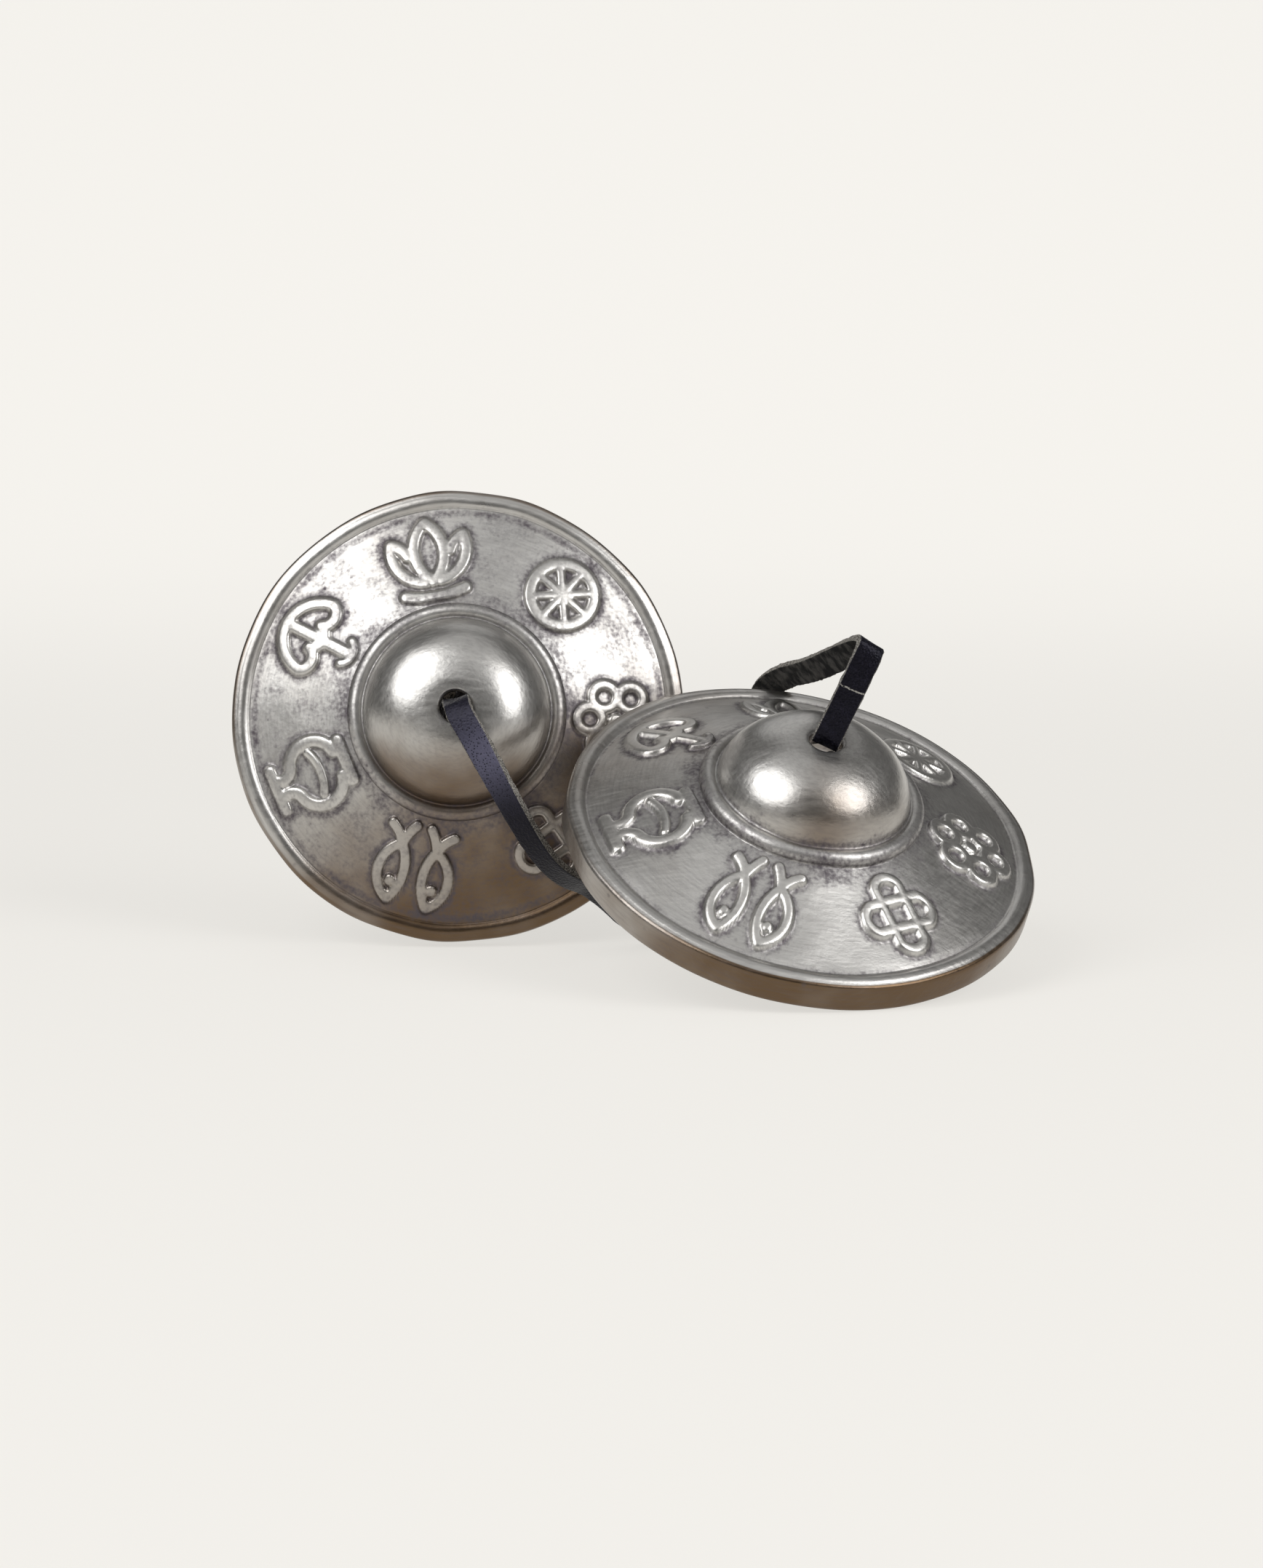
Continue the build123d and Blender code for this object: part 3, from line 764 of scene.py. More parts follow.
@dataclass
class Cymbal:
    """One casting: a surface of revolution with raised ornament, worn by hand. Millimetres."""

    side: Side
    first_field: float
    wear_and_shade: WearAndShade
    diameter: float = 70.0
    rim_height: float = 4.9
    land_width: float = 3.4
    wall_draft: float = 0.5
    rim_bead_width: float = 2.9
    rim_groove_depth: float = 0.44
    edge_round: float = 0.7
    shoulder_height: float = 10.7
    flange_wall: float = 2.5
    ring_width: float = 2.1
    ring_rise: float = 1.9
    dome_diameter: float = 28.8
    waist_height: float = 11.0
    crown_height: float = 20.8
    crown_flat: float = 3.5
    dome_groove_height: float = 12.2
    dome_wall: float = 2.4
    hole_radius: float = 2.403
    lip_round: float = 0.45
    relief_height: float = 0.8
    relief_margin: float = 0.3
    relief_fade: float = 0.9
    relief_slope: tuple = (0.66, 1.20)
    relief_crown: float = 0.20
    stroke_swell: float = 1.24
    rim_blend: float = 2.0
    rim_still: float = 1.0
    columns: int = 640
    flat_rows: int = 2
    round_rows: int = 4
    dome_rows: int = 22
    ring_rows: int = 10
    flange_rows: int = 76
    bead_rows: int = 8
    band_rows: int = 3
    underside_rows: int = 6
    ceiling_rows: int = 7

    def __post_init__(self) -> None:
        """Work out the radii and heights that follow from the sizes."""
        self.place = Place(self.side)
        self.rim = self.diameter / 2
        self.dome = self.dome_diameter / 2
        self.shoulder = self.dome + self.ring_width
        self.groove = self.rim - self.rim_bead_width
        self.groove_height = self.rim_height - self.rim_groove_depth
        self.fall = (self.shoulder_height - self.groove_height) / (self.groove - self.shoulder)

    def underside(self, radius: float) -> float:
        """Height of the flange's lower face at a radius: the upper face less the wall along the slope."""
        upper = self.shoulder_height - self.fall * (radius - self.shoulder)
        return upper - self.flange_wall * math.hypot(1, self.fall)

    def through(self, start: tuple, middle: tuple, end: tuple, count: int) -> np.ndarray:
        """Points of the arc through three points, up to, not with, its end.

        Args:
            start: First point.
            middle: A point on the arc.
            end: Last point.
            count: How many points.

        Returns:
            An array of count rows.
        """
        centre, radius, first, sweep = circle_through(start, middle, end)
        angles = (math.degrees(first), math.degrees(first + sweep))
        return arc_points(tuple(centre), radius, radius, angles, count)

    def profile(self) -> tuple[np.ndarray, slice, int]:
        """Closed half section, from the hole's lip over the dome and the rim to the underside and the bore.

        Returns:
            Radius and height of each row, the rows of the flange's upper face, and how many rows are outside.
        """
        across = self.dome - self.crown_flat
        rise = self.crown_height - self.waist_height
        dome_centre = (self.crown_flat, self.waist_height)
        start = math.degrees(math.asin((self.dome_groove_height - self.waist_height) / rise))
        foot = (self.crown_flat + across * math.cos(math.radians(start)), self.dome_groove_height)
        shoulder = (self.shoulder, self.shoulder_height)
        groove = (self.groove, self.groove_height)
        edge = self.rim - self.edge_round
        bead_end = self.rim_height - self.edge_round / 2
        land = self.rim - self.land_width
        wall = land - self.wall_draft
        inner_foot = self.shoulder - self.dome_wall
        inner_dome = self.dome - self.dome_wall
        ceiling = self.crown_height - self.dome_wall
        lip = (self.hole_radius + self.lip_round, self.crown_height - self.lip_round)
        ring_top = (foot[0] + self.ring_width / 2, shoulder[1] + self.ring_rise)
        bead_top = ((groove[0] + edge) / 2, self.rim_height)
        head = [
            arc_points(lip, self.lip_round, self.lip_round, (180, 90), self.round_rows),
            line_points((lip[0], self.crown_height), (self.crown_flat, self.crown_height), self.flat_rows),
            arc_points(dome_centre, across, rise, (90, start), self.dome_rows),
            self.through(foot, ring_top, shoulder, self.ring_rows),
        ]
        flange = line_points(shoulder, groove, self.flange_rows)
        corner = self.edge_round
        edges = [
            self.through(groove, bead_top, (edge, bead_end), self.bead_rows),
            arc_points((edge, bead_end - corner), corner, corner, (90, 0), self.round_rows),
            line_points((self.rim, bead_end - corner), (self.rim, corner), self.band_rows),
            arc_points((edge, corner), corner, corner, (0, -90), self.round_rows),
        ]
        wall_top = (wall, self.underside(wall))
        hollow_foot = (inner_foot, self.underside(inner_foot))
        hollow = (across - self.dome_wall, rise - self.dome_wall)
        tail = [
            line_points((edge, 0), (land, 0), self.flat_rows),
            line_points((land, 0), wall_top, self.flat_rows),
            line_points(wall_top, hollow_foot, self.underside_rows),
            line_points(hollow_foot, (inner_dome, self.waist_height), self.flat_rows),
            arc_points(dome_centre, *hollow, (0, 90), self.ceiling_rows),
            line_points((self.crown_flat, ceiling), (self.hole_radius, ceiling), 1),
            line_points((self.hole_radius, ceiling), (self.hole_radius, lip[1]), self.flat_rows),
        ]
        first = sum(len(part) for part in head)
        last = first + self.flange_rows
        on_top = last + sum(len(part) for part in edges)
        return np.concatenate([*head, flange, *edges, *tail]), slice(first, last), on_top

    def ornament(self, x: np.ndarray, y: np.ndarray) -> np.ndarray:
        """Least share of the distance to any stroke, over all seven fields.

        Args:
            x: Places across the cymbal.
            y: Places up the cymbal.

        Returns:
            Shares: 0 on a stroke's middle line and 1 at its edge.
        """
        field_radius = (self.shoulder + self.groove) / 2
        nearest = np.full(x.shape, np.inf)
        for number, motif in enumerate(Motif):
            angle = math.radians(self.first_field - number * 360 / len(Motif))
            across = x * math.sin(angle) - y * math.cos(angle)
            along = x * math.cos(angle) + y * math.sin(angle) - field_radius
            for stroke in motif.strokes():
                nearest = np.minimum(nearest, stroke.distance(across, along))
        return nearest

    def hand_work(self, x: np.ndarray, y: np.ndarray) -> np.ndarray:
        """Gentle unevenness of a casting: plane waves in random directions, none at the hole and the rim.

        Args:
            x: Places across the cymbal.
            y: Places up the cymbal.

        Returns:
            Heights in millimetres.
        """
        rng = np.random.default_rng(self.wear_and_shade.seed)
        total = np.zeros_like(x)
        shortest, longest, count = self.wear_and_shade.wobble_lengths
        for length in np.linspace(shortest, longest, count):
            angle, phase = rng.uniform(0, 2 * math.pi, 2)
            wave = 2 * math.pi / length * (x * math.cos(angle) + y * math.sin(angle)) + phase
            total += np.sin(wave) * length / longest
        radius = np.hypot(x, y)
        clear = smoothstep(self.crown_flat, self.dome / 2, radius)
        clear *= 1 - smoothstep(self.groove - self.rim_blend, self.rim - self.rim_still, radius)
        return total * self.wear_and_shade.wobble * clear

    def rim_wear(self, turns: np.ndarray) -> np.ndarray:
        """How far the rim is filed in: a sum of waves of several counts to the turn, never outwards.

        Args:
            turns: Angles in radians.

        Returns:
            Depths in millimetres.
        """
        rng = np.random.default_rng(self.wear_and_shade.seed + 1)
        counts = range(*self.wear_and_shade.rim_waves)
        waves = [np.sin(count * turns + rng.uniform(0, 2 * math.pi)) / math.sqrt(count) for count in counts]
        total = np.sum(waves, axis=0)
        return (total - total.min()) * self.wear_and_shade.rim_waver

    def relief(
        self, x: np.ndarray, y: np.ndarray, flange: slice,
    ) -> tuple[np.ndarray, np.ndarray, np.ndarray]:
        """The raised ornament and the grime beside it.

        Args:
            x: Places across the cymbal.
            y: Places up the cymbal.
            flange: Rows that the ornament stands on.

        Returns:
            Share of the relief's height, share that is on a stroke, and depth of grime beside the strokes.
        """
        radius = np.hypot(x, y)
        away = np.full(radius.shape, np.inf)
        away[flange] = self.ornament(x[flange], y[flange]) / self.stroke_swell
        inner, outer = self.shoulder + self.relief_margin, self.groove - self.relief_margin
        inside = smoothstep(inner, inner + self.relief_fade, radius)
        inside = inside * (1 - smoothstep(outer - self.relief_fade, outer, radius))
        raised = (1 - smoothstep(*self.relief_slope, away)) * inside
        crown = np.clip(1 - np.minimum(away, 1) ** 2, 0, 1) * inside
        beside = np.exp(-(np.maximum(away - 1.0, 0) / self.wear_and_shade.relief_grime_width) ** 2)
        beside = beside * (1 - raised) * inside
        lift = raised * (1 - self.relief_crown) + crown * self.relief_crown
        return lift, raised, beside * self.wear_and_shade.relief_grime

    def grime(self, radius: np.ndarray, on_top: np.ndarray) -> np.ndarray:
        """Depth of grime in the casting's round corners: a bell curve across each, and less on the flange.

        Args:
            radius: Radius of each point.
            on_top: Which rows are outside.

        Returns:
            Depths from 0 to 1.
        """
        wear_and_shade = self.wear_and_shade
        flange = smoothstep(self.dome, self.shoulder + wear_and_shade.flange_grime_start, radius)
        total = wear_and_shade.flange_grime * flange * (radius < self.groove)
        places = (self.shoulder, self.shoulder, self.dome, self.groove, self.hole_radius)
        lines = (wear_and_shade.shoulder_line, wear_and_shade.shoulder_cloud, wear_and_shade.dome_line, wear_and_shade.rim_line, wear_and_shade.hole_line)
        for place, (offset, width, depth) in zip(places, lines):
            total = np.maximum(total, depth * np.exp(-((radius - place - offset) / width) ** 2))
        return np.where(on_top, total, wear_and_shade.underside_grime)

    def age(
        self, radius: np.ndarray, height: np.ndarray, turns: np.ndarray, on_top: np.ndarray,
    ) -> np.ndarray:
        """Depth of brown: painted shade and reflection on one side of the flange, low on the dome and round
        the rim's band, and tarnish on the underside.

        Args:
            radius: Radius of each point.
            height: Height of each point.
            turns: Angle of each column, in radians.
            on_top: Which rows are outside.

        Returns:
            Depths from 0 to 1.
        """
        wear_and_shade = self.wear_and_shade
        # Painted shade and reflection: brown towards one side of the flange, on the dome's lower side, and
        # round the band, more towards its foot.
        level = np.cos(turns - math.radians(wear_and_shade.shaded_side))[None, :] * radius / self.rim
        low = -np.sin(turns)[None, :] * radius / self.dome
        flange = wear_and_shade.new_metal + wear_and_shade.shade_depth * smoothstep(*wear_and_shade.shade_reach, level)
        dome = wear_and_shade.new_metal + wear_and_shade.dome_low_shade * smoothstep(*wear_and_shade.dome_reach, low)
        band = (radius > self.rim - self.edge_round) & (height < self.rim_height - self.edge_round / 2)
        total = np.where(radius < self.dome, dome, flange)
        band_shade = wear_and_shade.band_shade + wear_and_shade.band_low_shade * smoothstep(*wear_and_shade.foot_reach, -np.sin(turns))[None, :]
        total = np.where(band, np.maximum(total, band_shade), total)
        return np.where(on_top | band, total, wear_and_shade.underside_age)

    def shine(self, radius: np.ndarray, raised: np.ndarray, on_top: np.ndarray) -> np.ndarray:
        """How far the metal is polished: the dome and the rim's bead most, then the relief, then the flange.

        Args:
            radius: Radius of each point.
            raised: Share of each point that is on a stroke.
            on_top: Which rows are outside.

        Returns:
            Shares from 0 to 1.
        """
        wear_and_shade = self.wear_and_shade
        smooth = (radius < self.dome) | (radius > self.groove + self.edge_round)
        plain = np.where(smooth, wear_and_shade.dome_polish, wear_and_shade.flange_polish)
        return np.where(on_top, np.maximum(plain, raised * wear_and_shade.raised_polish), 0.0)

    def build(self, metal: bpy.types.Material) -> bpy.types.Object:
        """The dressed casting.

        The grid is the section turned about the axis. The relief lifts the flange by its height times an
        eased share of the distance to the nearest stroke. The attributes say where the metal is raised,
        grimy and polished, and where it is browned by tarnish and by painted shade and reflection.

        Args:
            metal: The finish.

        Returns:
            The object that stands for the CAD node.
        """
        section, flange, top_rows = self.profile()
        turns = np.linspace(0, 2 * math.pi, self.columns, endpoint=False)
        radius = np.broadcast_to(section[:, :1], (len(section), self.columns))
        height = np.broadcast_to(section[:, 1:], radius.shape)
        on_top = (np.arange(len(section)) < top_rows)[:, None]
        worn = radius - self.rim_wear(turns) * smoothstep(self.groove - self.rim_blend, self.rim, radius)
        x, y = worn * np.cos(turns), worn * np.sin(turns)
        lift, raised, beside = self.relief(x, y, flange)
        values = {
            "raised": raised,
            "patina": np.maximum(beside, self.grime(radius, on_top)),
            # Brown of tarnish and of painted shade and reflection.
            "tarnish_shade": self.age(radius, height, turns, on_top),
            "polish": self.shine(radius, raised, on_top),
        }
        steps = np.linalg.norm(np.diff(section, axis=0, prepend=section[:1]), axis=1)
        along = np.broadcast_to(np.cumsum(steps)[:, None] * MM, radius.shape)
        values["ring_place"] = np.stack(np.broadcast_arrays(np.cos(turns), np.sin(turns), along), axis=-1)
        worked = height + np.where(on_top, self.hand_work(x, y), 0.0) + self.relief_height * lift
        grid = self.place.to_world(np.stack([x, y, worked], axis=-1), self.crown_height)
        piece = surface(f"{self.side.value}_cymbal_casting", grid, True, values)
        piece.data.materials.append(metal)
        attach(piece, f"{self.side.value}_bell")
        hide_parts(f"{self.side.value}_cymbal")
        return piece


@dataclass
class LaceSection:
    """The lace's cross section: a rounded rectangle, with a value that says which side each point is on."""

    width: float = 4.0
    thickness: float = 1.25
    corner: float = 0.24
    corner_points: int = 4
    flat_points: int = 5
    fray: float = 0.05

    def ring(self) -> tuple[np.ndarray, np.ndarray, np.ndarray]:
        """Across, out and side of each point.

        One quarter goes from the middle of a cut edge, round the corner, to the middle of the grain side, and
        is mirrored into the other three.

        Returns:
            Places across and out of the lace in millimetres, and 1 on the grain side to -1 on the suede side.
        """
        turn = np.linspace(0, math.pi / 2, self.corner_points)
        inset = self.width / 2 - self.corner
        flat = np.linspace(inset, 0, self.flat_points + 1)[1:]
        across = np.concatenate([[self.width / 2], inset + self.corner * np.cos(turn), flat])
        corner_out = self.thickness / 2 - self.corner + self.corner * np.sin(turn)
        out = np.concatenate([[0.0], corner_out, np.full(self.flat_points, self.thickness / 2)])
        side = np.concatenate([[0.0], turn / (math.pi / 2), np.ones(self.flat_points)])
        quarters = ((1, 1, 1), (-1, 1, -1), (-1, -1, 1), (1, -1, -1))
        ways = [(x_sign * across[::step][:-1], y_sign * out[::step][:-1], y_sign * side[::step][:-1])
                for x_sign, y_sign, step in quarters]
        return tuple(np.concatenate(values) for values in zip(*ways))

    def strip(self, path: np.ndarray, facing: np.ndarray, seed: int) -> tuple[np.ndarray, np.ndarray]:
        """The lace carried along a path, closed at both ends.

        Args:
            path: Points in metres.
            facing: The way that the grain side faces at each point.
            seed: Seed of the cut edges' unevenness.

        Returns:
            The grid of points, and the side of each.
        """
        along = unit(np.gradient(path, axis=0))
        wide = unit(np.cross(along, facing))
        outward = np.cross(wide, along)
        across, out, side = self.ring()
        rng = np.random.default_rng(seed)
        rough = rng.normal(0.0, self.fray, (len(path), len(side))) * (np.abs(side) < 0.5)
        across = across[None, :] + rough * np.sign(across)[None, :]
        offset = across[..., None] * wide[:, None] + out[None, :, None] * outward[:, None]
        grid = path[:, None] + offset * MM
        ends = [np.broadcast_to(path[index], (1, len(side), 3)) for index in (0, -1)]
        sides = np.broadcast_to(side, grid.shape[:2])
        edge = np.zeros((1, len(side)))
        return np.concatenate([ends[0], grid, ends[1]]), np.concatenate([edge, sides, edge])


@dataclass
class Lace:
    """The one lace from hole to hole: its route in millimetres and the way that its grain side faces."""

    section: LaceSection
    length: float = 0.1791
    seed: int = 5
    order: int = 3
    steps_per_point: int = 14
    hole_depth: float = 0.8
    crease_share: float = 0.950
    # Where the painted sheen lies along the lace from the left hole, and how far it spreads, in metres.
    sheen_place: float = 0.014
    sheen_spread: float = 0.0055
    left_lift: tuple = (0.10, 0.0, 0.6)
    route: tuple = (
        ((-24.66, 4.30, 39.50), (-0.25, -0.70, 0.75)),
        ((-24.12, 2.20, 37.80), (-0.32, -0.82, 0.50)),
        ((-21.87, 1.00, 34.40), (-0.34, -0.88, 0.26)),
        ((-18.47, 0.80, 28.00), (-0.44, -0.87, -0.06)),
        ((-14.40, 2.20, 20.30), (-0.49, -0.82, -0.26)),
        ((-11.40, 4.40, 15.30), (-0.46, -0.80, -0.38)),
        ((-8.10, 7.60, 12.00), (-0.42, -0.86, -0.30)),
        ((-3.90, 12.20, 9.90), (-0.40, -0.80, -0.42)),
        ((3.60, 17.60, 0.72), (0.00, 0.00, -1.00)),
        ((21.50, 34.60, 0.72), (0.50, 0.45, -0.75)),
        ((22.60, 37.20, 9.00), (0.55, 0.80, -0.20)),
        ((22.00, 38.00, 20.00), (0.40, 0.90, 0.00)),
        ((20.80, 37.30, 30.50), (0.40, 0.90, 0.20)),
        ((21.60, 33.00, 38.00), (0.55, 0.55, 0.60)),
        ((24.95, 25.00, 41.20), (0.70, 0.20, 0.65)),
        ((28.20, 13.80, 43.00), (0.75, 0.25, 0.60)),
        ((32.10, -1.50, 46.70), (0.80, 0.25, 0.55)),
        ((35.30, -10.70, 49.50), (0.60, 0.05, 0.80)),
        ((35.20, -12.70, 48.20), (0.20, -0.90, 0.40)),
    )
    left_facing: tuple = (0.00, -0.20, 1.00)
    right_facing: tuple = (0.00, -1.00, 0.00)

    def control(self) -> tuple[np.ndarray, np.ndarray]:
        """The route with an end in each hole.

        Returns:
            Control points in metres, and their facings.
        """
        left, right = Place(Side.LEFT), Place(Side.RIGHT)
        points = np.array([point for point, _ in self.route]) * MM
        start = left.hole + (np.asarray(self.left_lift) - left.axis * self.hole_depth) * MM
        end = right.hole - unit(points[-1] - right.hole) * self.hole_depth * MM
        facings = [self.left_facing, *(facing for _, facing in self.route), self.right_facing]
        return np.concatenate([[start], points, [end]]), np.array(facings)

    def path(self) -> tuple[np.ndarray, np.ndarray]:
        """Points and facings along the route's smooth NURBS line.

        Returns:
            Points in metres, and the facing at each, eased between those of the control points.
        """
        points, facings = self.control()
        curve = bpy.data.curves.new("lace_route", "CURVE")
        curve.dimensions = "3D"
        curve.resolution_u = self.steps_per_point
        spline = curve.splines.new("NURBS")
        spline.points.add(len(points) - 1)
        spline.points.foreach_set("co", np.column_stack([points, np.ones(len(points))]).ravel())
        spline.order_u = self.order
        spline.use_endpoint_u = True
        holder = bpy.data.objects.new("lace_route", curve)
        mesh = bpy.data.meshes.new_from_object(holder)
        line = np.empty(len(mesh.vertices) * 3)
        mesh.vertices.foreach_get("co", line)
        bpy.data.objects.remove(holder)
        bpy.data.curves.remove(curve)
        bpy.data.meshes.remove(mesh)
        line = line.reshape(-1, 3)
        knots = np.clip(np.arange(len(points)) - 0.5, 0, len(points) - 2)
        places = np.linspace(0, len(points) - 2, len(line))
        blended = np.stack([np.interp(places, knots, facings[:, axis]) for axis in range(3)], axis=1)
        return line, unit(blended)

    def build(self, leather: bpy.types.Material) -> bpy.types.Object:
        """The lace as one strip.

        The crease value is the signed distance along the lace to the fold, in metres. The sheen value is a
        bell curve along the lace about the place where a lighter bluish sheen is painted on the grain.

        Args:
            leather: The finish.

        Returns:
            The object that stands for the lace's three CAD nodes.
        """
        path, facing = self.path()
        grid, side = self.section.strip(path, facing, self.seed)
        steps = np.linalg.norm(np.diff(path, axis=0), axis=1)
        total = np.cumsum(steps)
        run = np.concatenate([[0.0, 0.0], total, total[-1:]])
        lengthwise = {
            "crease": run - self.crease_share * run[-1],
            # Bell curve of the painted sheen along the lace.
            "painted_sheen": np.exp(-((run - self.sheen_place) / self.sheen_spread) ** 2),
        }
        values = {name: np.broadcast_to(array[:, None], side.shape) for name, array in lengthwise.items()}
        values["side"] = side
        piece = surface("lace_strip", grid, False, values)
        piece.data.materials.append(leather)
        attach(piece, "strap")
        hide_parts("strap_left_span", "strap_floor_run", "strap_right_span")
        self.line = path
        return piece


@dataclass
class StopperKnot:
    """Overhand knot of the lace under a crown, with its neck and its cut tail. Millimetres."""

    side: Side
    section: LaceSection
    crown_height: float = 20.8
    middle_height: float = 14.6
    squeeze: float = 0.86
    lobe: float = 0.80
    climb: float = 1.55
    neck_top: float = 18.4
    neck_foot: tuple = (0.4, -0.4, 2.2)
    neck_facing: tuple = (0.0, -1.0, 0.0)
    tail_length: float = 13.0
    tail_splay: float = 38.0
    tail_rise: float = 0.3
    tail_start: float = 0.25
    tail_sag: float = 0.5
    tail_facing: tuple = (1.0, 0.0, -0.6)
    opening: float = 0.35
    steps: int = 120
    neck_steps: int = 12
    tail_steps: int = 20
    smoothing: int = 9
    seed: int = 11

    def path(self) -> tuple[np.ndarray, np.ndarray]:
        """One line: down the neck, once round an overhand knot, and out along the tail.

        The knot is a trefoil: (sin t + 2 sin 2t, cos t - 2 cos 2t, -sin 3t), scaled, opened at its top. A
        running mean smooths the joins.

        Returns:
            Points in the cymbal's frame, and the way that the grain side faces.
        """
        turn = np.linspace(self.opening, 2 * math.pi - self.opening, self.steps)
        knot = np.stack([
            (np.sin(turn) + 2 * np.sin(2 * turn)) * self.lobe,
            (np.cos(turn) - 2 * np.cos(2 * turn)) * self.lobe,
            self.middle_height - self.climb * np.sin(3 * turn),
        ], axis=1)
        middle = np.array([0.0, 0.0, self.middle_height])
        neck = np.linspace((0.0, 0.0, self.neck_top), middle + self.neck_foot, self.neck_steps)
        splay = math.radians(self.tail_splay)
        reach = np.array([-math.sin(splay), 0.0, -math.cos(splay)]) * self.tail_length
        tip = reach + middle + (0.0, 0.0, self.tail_rise)
        tail = np.linspace(knot[-1] + (tip - knot[-1]) * self.tail_start, tip, self.tail_steps)
        tail[:, 1] += np.sin(np.linspace(0, math.pi, self.tail_steps)) * self.tail_sag
        pad = self.smoothing // 2
        padded = np.pad(np.concatenate([neck, knot, tail]), ((pad, pad), (0, 0)), mode="edge")
        kernel = np.ones(self.smoothing) / self.smoothing
        line = np.stack([np.convolve(column, kernel, mode="valid") for column in padded.T], axis=1)
        outward = line - middle
        outward[:self.neck_steps] = self.neck_facing
        outward[-self.tail_steps:] = self.tail_facing
        return line, unit(outward)

    def build(self, leather: bpy.types.Material) -> bpy.types.Object:
        """The knot as one strip.

        Args:
            leather: The finish.

        Returns:
            The object that stands for the CAD node.
        """
        line, facing = self.path()
        place = Place(self.side)
        slim = LaceSection(self.section.width * self.squeeze, self.section.thickness)
        grid, side = slim.strip(place.to_world(line, self.crown_height), facing @ place.turn, self.seed)
        # The knots carry no painted sheen.
        values = {"side": side, "crease": np.ones(side.shape), "painted_sheen": np.zeros(side.shape)}
        piece = surface(f"{self.side.value}_overhand_knot", grid, False, values)
        piece.data.materials.append(leather)
        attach(piece, f"{self.side.value}_stopper")
        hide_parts(f"{self.side.value}_knot")
        return piece


@dataclass(frozen=True)
class SoftBox:
    """A round studio lamp, aimed at the middle of the object."""

    name: str
    direction: tuple
    distance: float
    size: float
    power: float
    colour: tuple = (1.0, 1.0, 1.0)

    def build(self, aim: np.ndarray) -> None:
        """Hang the lamp.

        Args:
            aim: The point that it faces, in metres.
        """
        lamp = bpy.data.lights.new(self.name, "AREA")
        lamp.shape = "DISK"
        lamp.size = self.size
        lamp.energy = self.power
        lamp.color = self.colour
        holder = hang(self.name, lamp)
        away = unit(np.asarray(self.direction))
        holder.location = aim + away * self.distance
        holder.rotation_euler = Vector(away).to_track_quat("Z", "Y").to_euler()


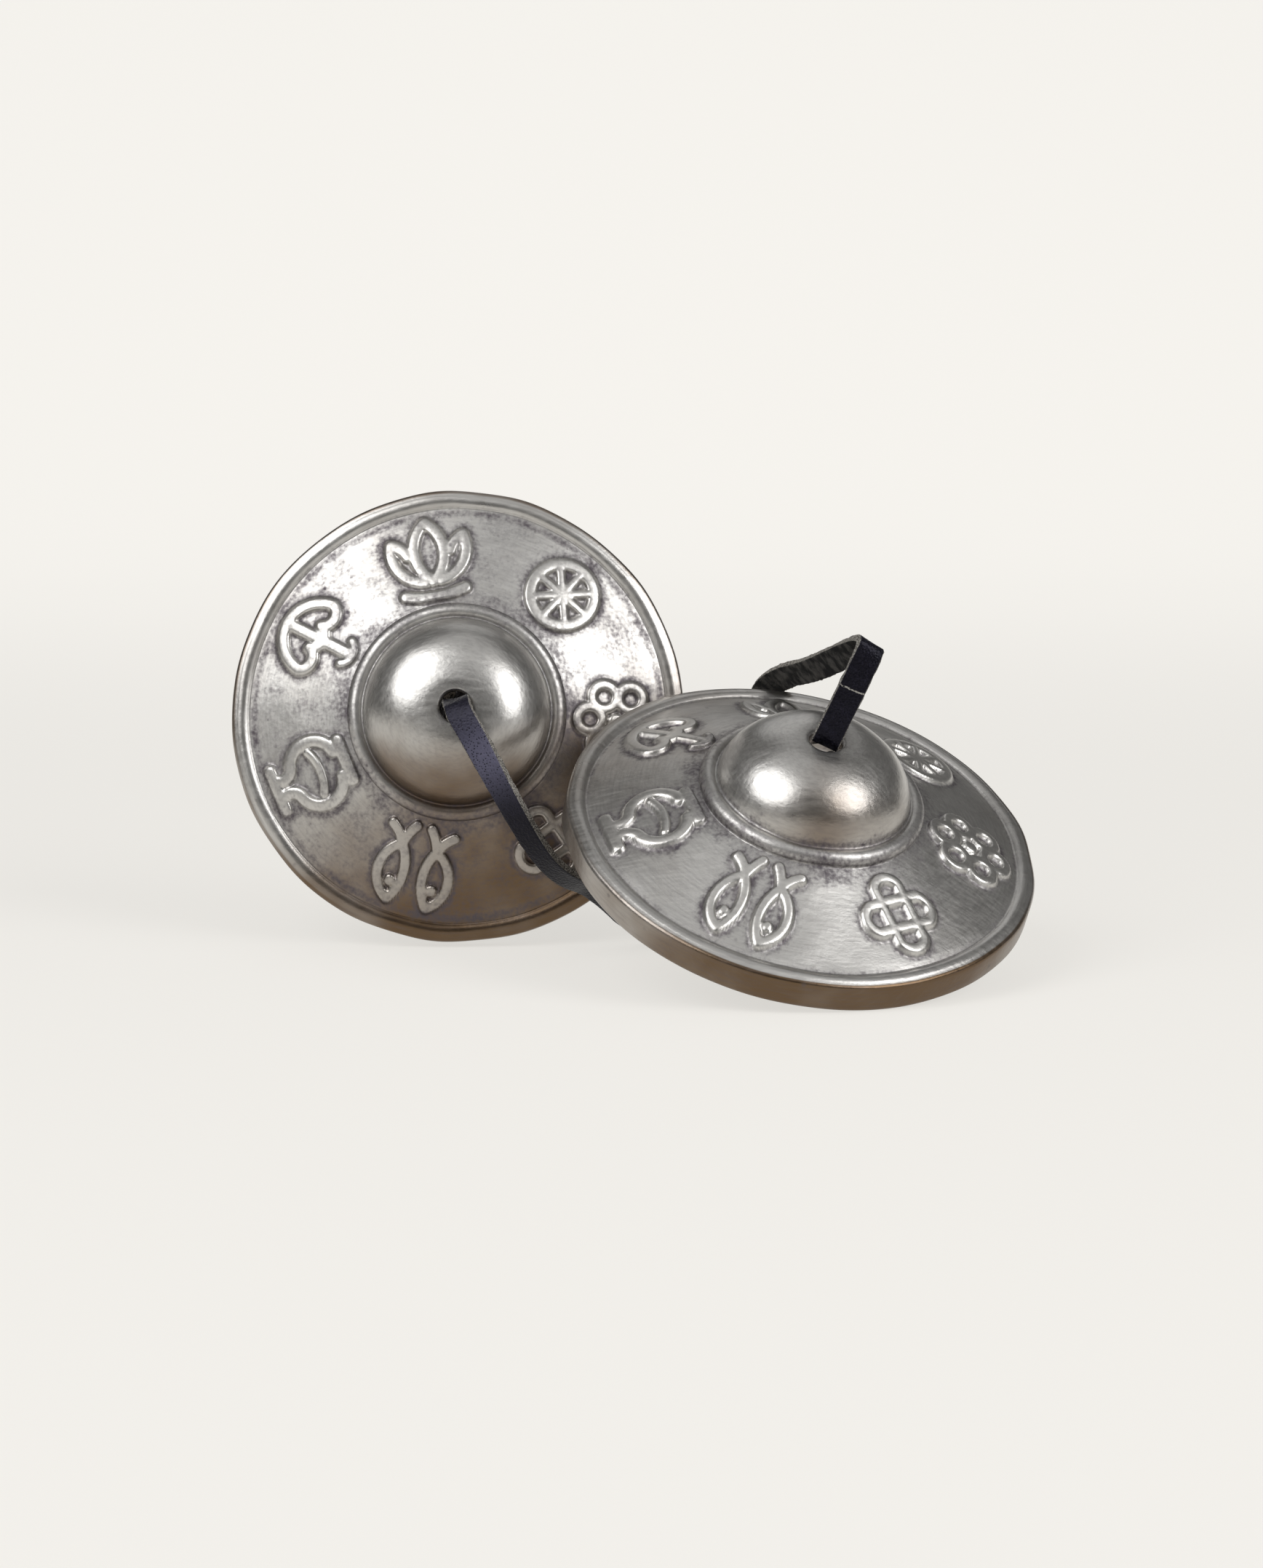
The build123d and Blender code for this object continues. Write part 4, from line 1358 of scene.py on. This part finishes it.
@dataclass
class Studio:
    """Camera, lamps and a seamless sheet of paper."""

    camera_place: tuple = (0.001232, -0.470708, 0.092231)
    camera_down: float = 7.814
    focal_pixels: float = 4443.0
    picture_width: float = 1736.0
    film_width: float = 36.0
    aim: tuple = (0.0, 0.0, 0.035)
    paper_half_width: float = 1.6
    paper_front: float = -1.4
    paper_back: float = 0.75
    paper_bend: float = 0.25
    paper_top: float = 0.28
    bend_points: int = 13
    room_colour: tuple = (1.0, 0.985, 0.96)
    room_light: float = 0.13
    nearest: float = 0.01
    lamps: tuple = (
        SoftBox("left_softbox", (-0.56, -0.54, 0.64), 0.80, 0.66, 3.6),
        SoftBox("right_softbox", (0.71, -0.53, 0.49), 0.80, 0.52, 2.8),
        SoftBox("top_softbox", (0.15, -0.28, 0.95), 0.95, 1.10, 1.20),
        SoftBox("back_softbox", (0.05, 0.66, 0.75), 0.90, 0.60, 0.45),
    )

    def camera(self) -> None:
        """The photograph's viewpoint."""
        lens = bpy.data.cameras.new("photograph_view")
        lens.sensor_fit = "HORIZONTAL"
        lens.sensor_width = self.film_width
        lens.lens = self.focal_pixels / self.picture_width * self.film_width
        lens.clip_start = self.nearest
        holder = hang("photograph_view", lens)
        holder.location = self.camera_place
        holder.rotation_euler = (math.radians(90 - self.camera_down), 0.0, 0.0)
        bpy.context.scene.camera = holder

    def paper(self) -> None:
        """A sheet that runs along the table and curves up behind: a line, a quarter circle and a line."""
        rise = np.linspace(0, math.pi / 2, self.bend_points)
        circle = np.stack([np.sin(rise), 1 - np.cos(rise)], axis=1)
        bend = (self.paper_back, 0.0) + self.paper_bend * circle
        front = [(self.paper_front, 0.0)]
        top = [(self.paper_back + self.paper_bend, self.paper_top)]
        outline = np.concatenate([front, bend, top])
        across = np.array([-1.0, 1.0]) * self.paper_half_width
        grid = np.stack([np.column_stack([np.full(len(outline), x), outline]) for x in across], axis=1)
        points = grid.reshape(-1, 3)
        rows = np.arange(len(outline) - 1) * 2
        faces = np.stack([rows, rows + 1, rows + 3, rows + 2], axis=1)
        mesh = bpy.data.meshes.new("paper_sheet")
        mesh.from_pydata(points.tolist(), [], faces.tolist())
        mesh.polygons.foreach_set("use_smooth", np.ones(len(faces), dtype=bool))
        mesh.materials.append(PalePaper().material())
        sheet = hang("paper_sheet", mesh)

    def room(self) -> None:
        """An even grey room."""
        world = bpy.data.worlds.new("room")
        world.use_nodes = True
        shade = world.node_tree.nodes["Background"]
        shade.inputs["Color"].default_value = (*self.room_colour, 1.0)
        shade.inputs["Strength"].default_value = self.room_light
        bpy.context.scene.world = world

    def build(self) -> None:
        """Set the whole studio up."""
        self.camera()
        self.paper()
        self.room()
        for lamp in self.lamps:
            lamp.build(np.asarray(self.aim))
        bpy.context.scene.view_settings.view_transform = "Standard"


def main() -> None:
    """Build the studio and every piece."""
    logging.basicConfig(level=logging.INFO, format="%(name)s: %(message)s")
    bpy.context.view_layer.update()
    Studio().build()
    metal = BellMetal().material()
    leather = LaceLeather().material()
    section = LaceSection()
    lace = Lace(section)
    strip = lace.build(leather)
    log.info("lace strip: %d faces", len(strip.data.polygons))
    for side in Side:
        knot = StopperKnot(side, section).build(leather)
        log.info("%s: %d faces", knot.name, len(knot.data.polygons))
    left_rim_line = (-0.80, 1.00, 0.74)
    # Each casting's first three wear values paint brown shade and reflection into its flange and dome,
    # strongest on the given side.
    left_wear_and_shade = WearAndShade(-65.0, shade_depth=0.80, dome_low_shade=0.72, seed=3, flange_grime=0.36, rim_line=left_rim_line)
    right_wear_and_shade = WearAndShade(120.0, shade_depth=0.34, dome_low_shade=0.44, seed=8, new_metal=0.04, flange_grime=0.10)
    left = Cymbal(Side.LEFT, first_field=100.0, wear_and_shade=left_wear_and_shade)
    right = Cymbal(Side.RIGHT, first_field=77.0, wear_and_shade=right_wear_and_shade)
    for cymbal in (left, right):
        casting = cymbal.build(metal)
        log.info("%s: %d faces", casting.name, len(casting.data.polygons))


if __name__ == "__main__":
    main()
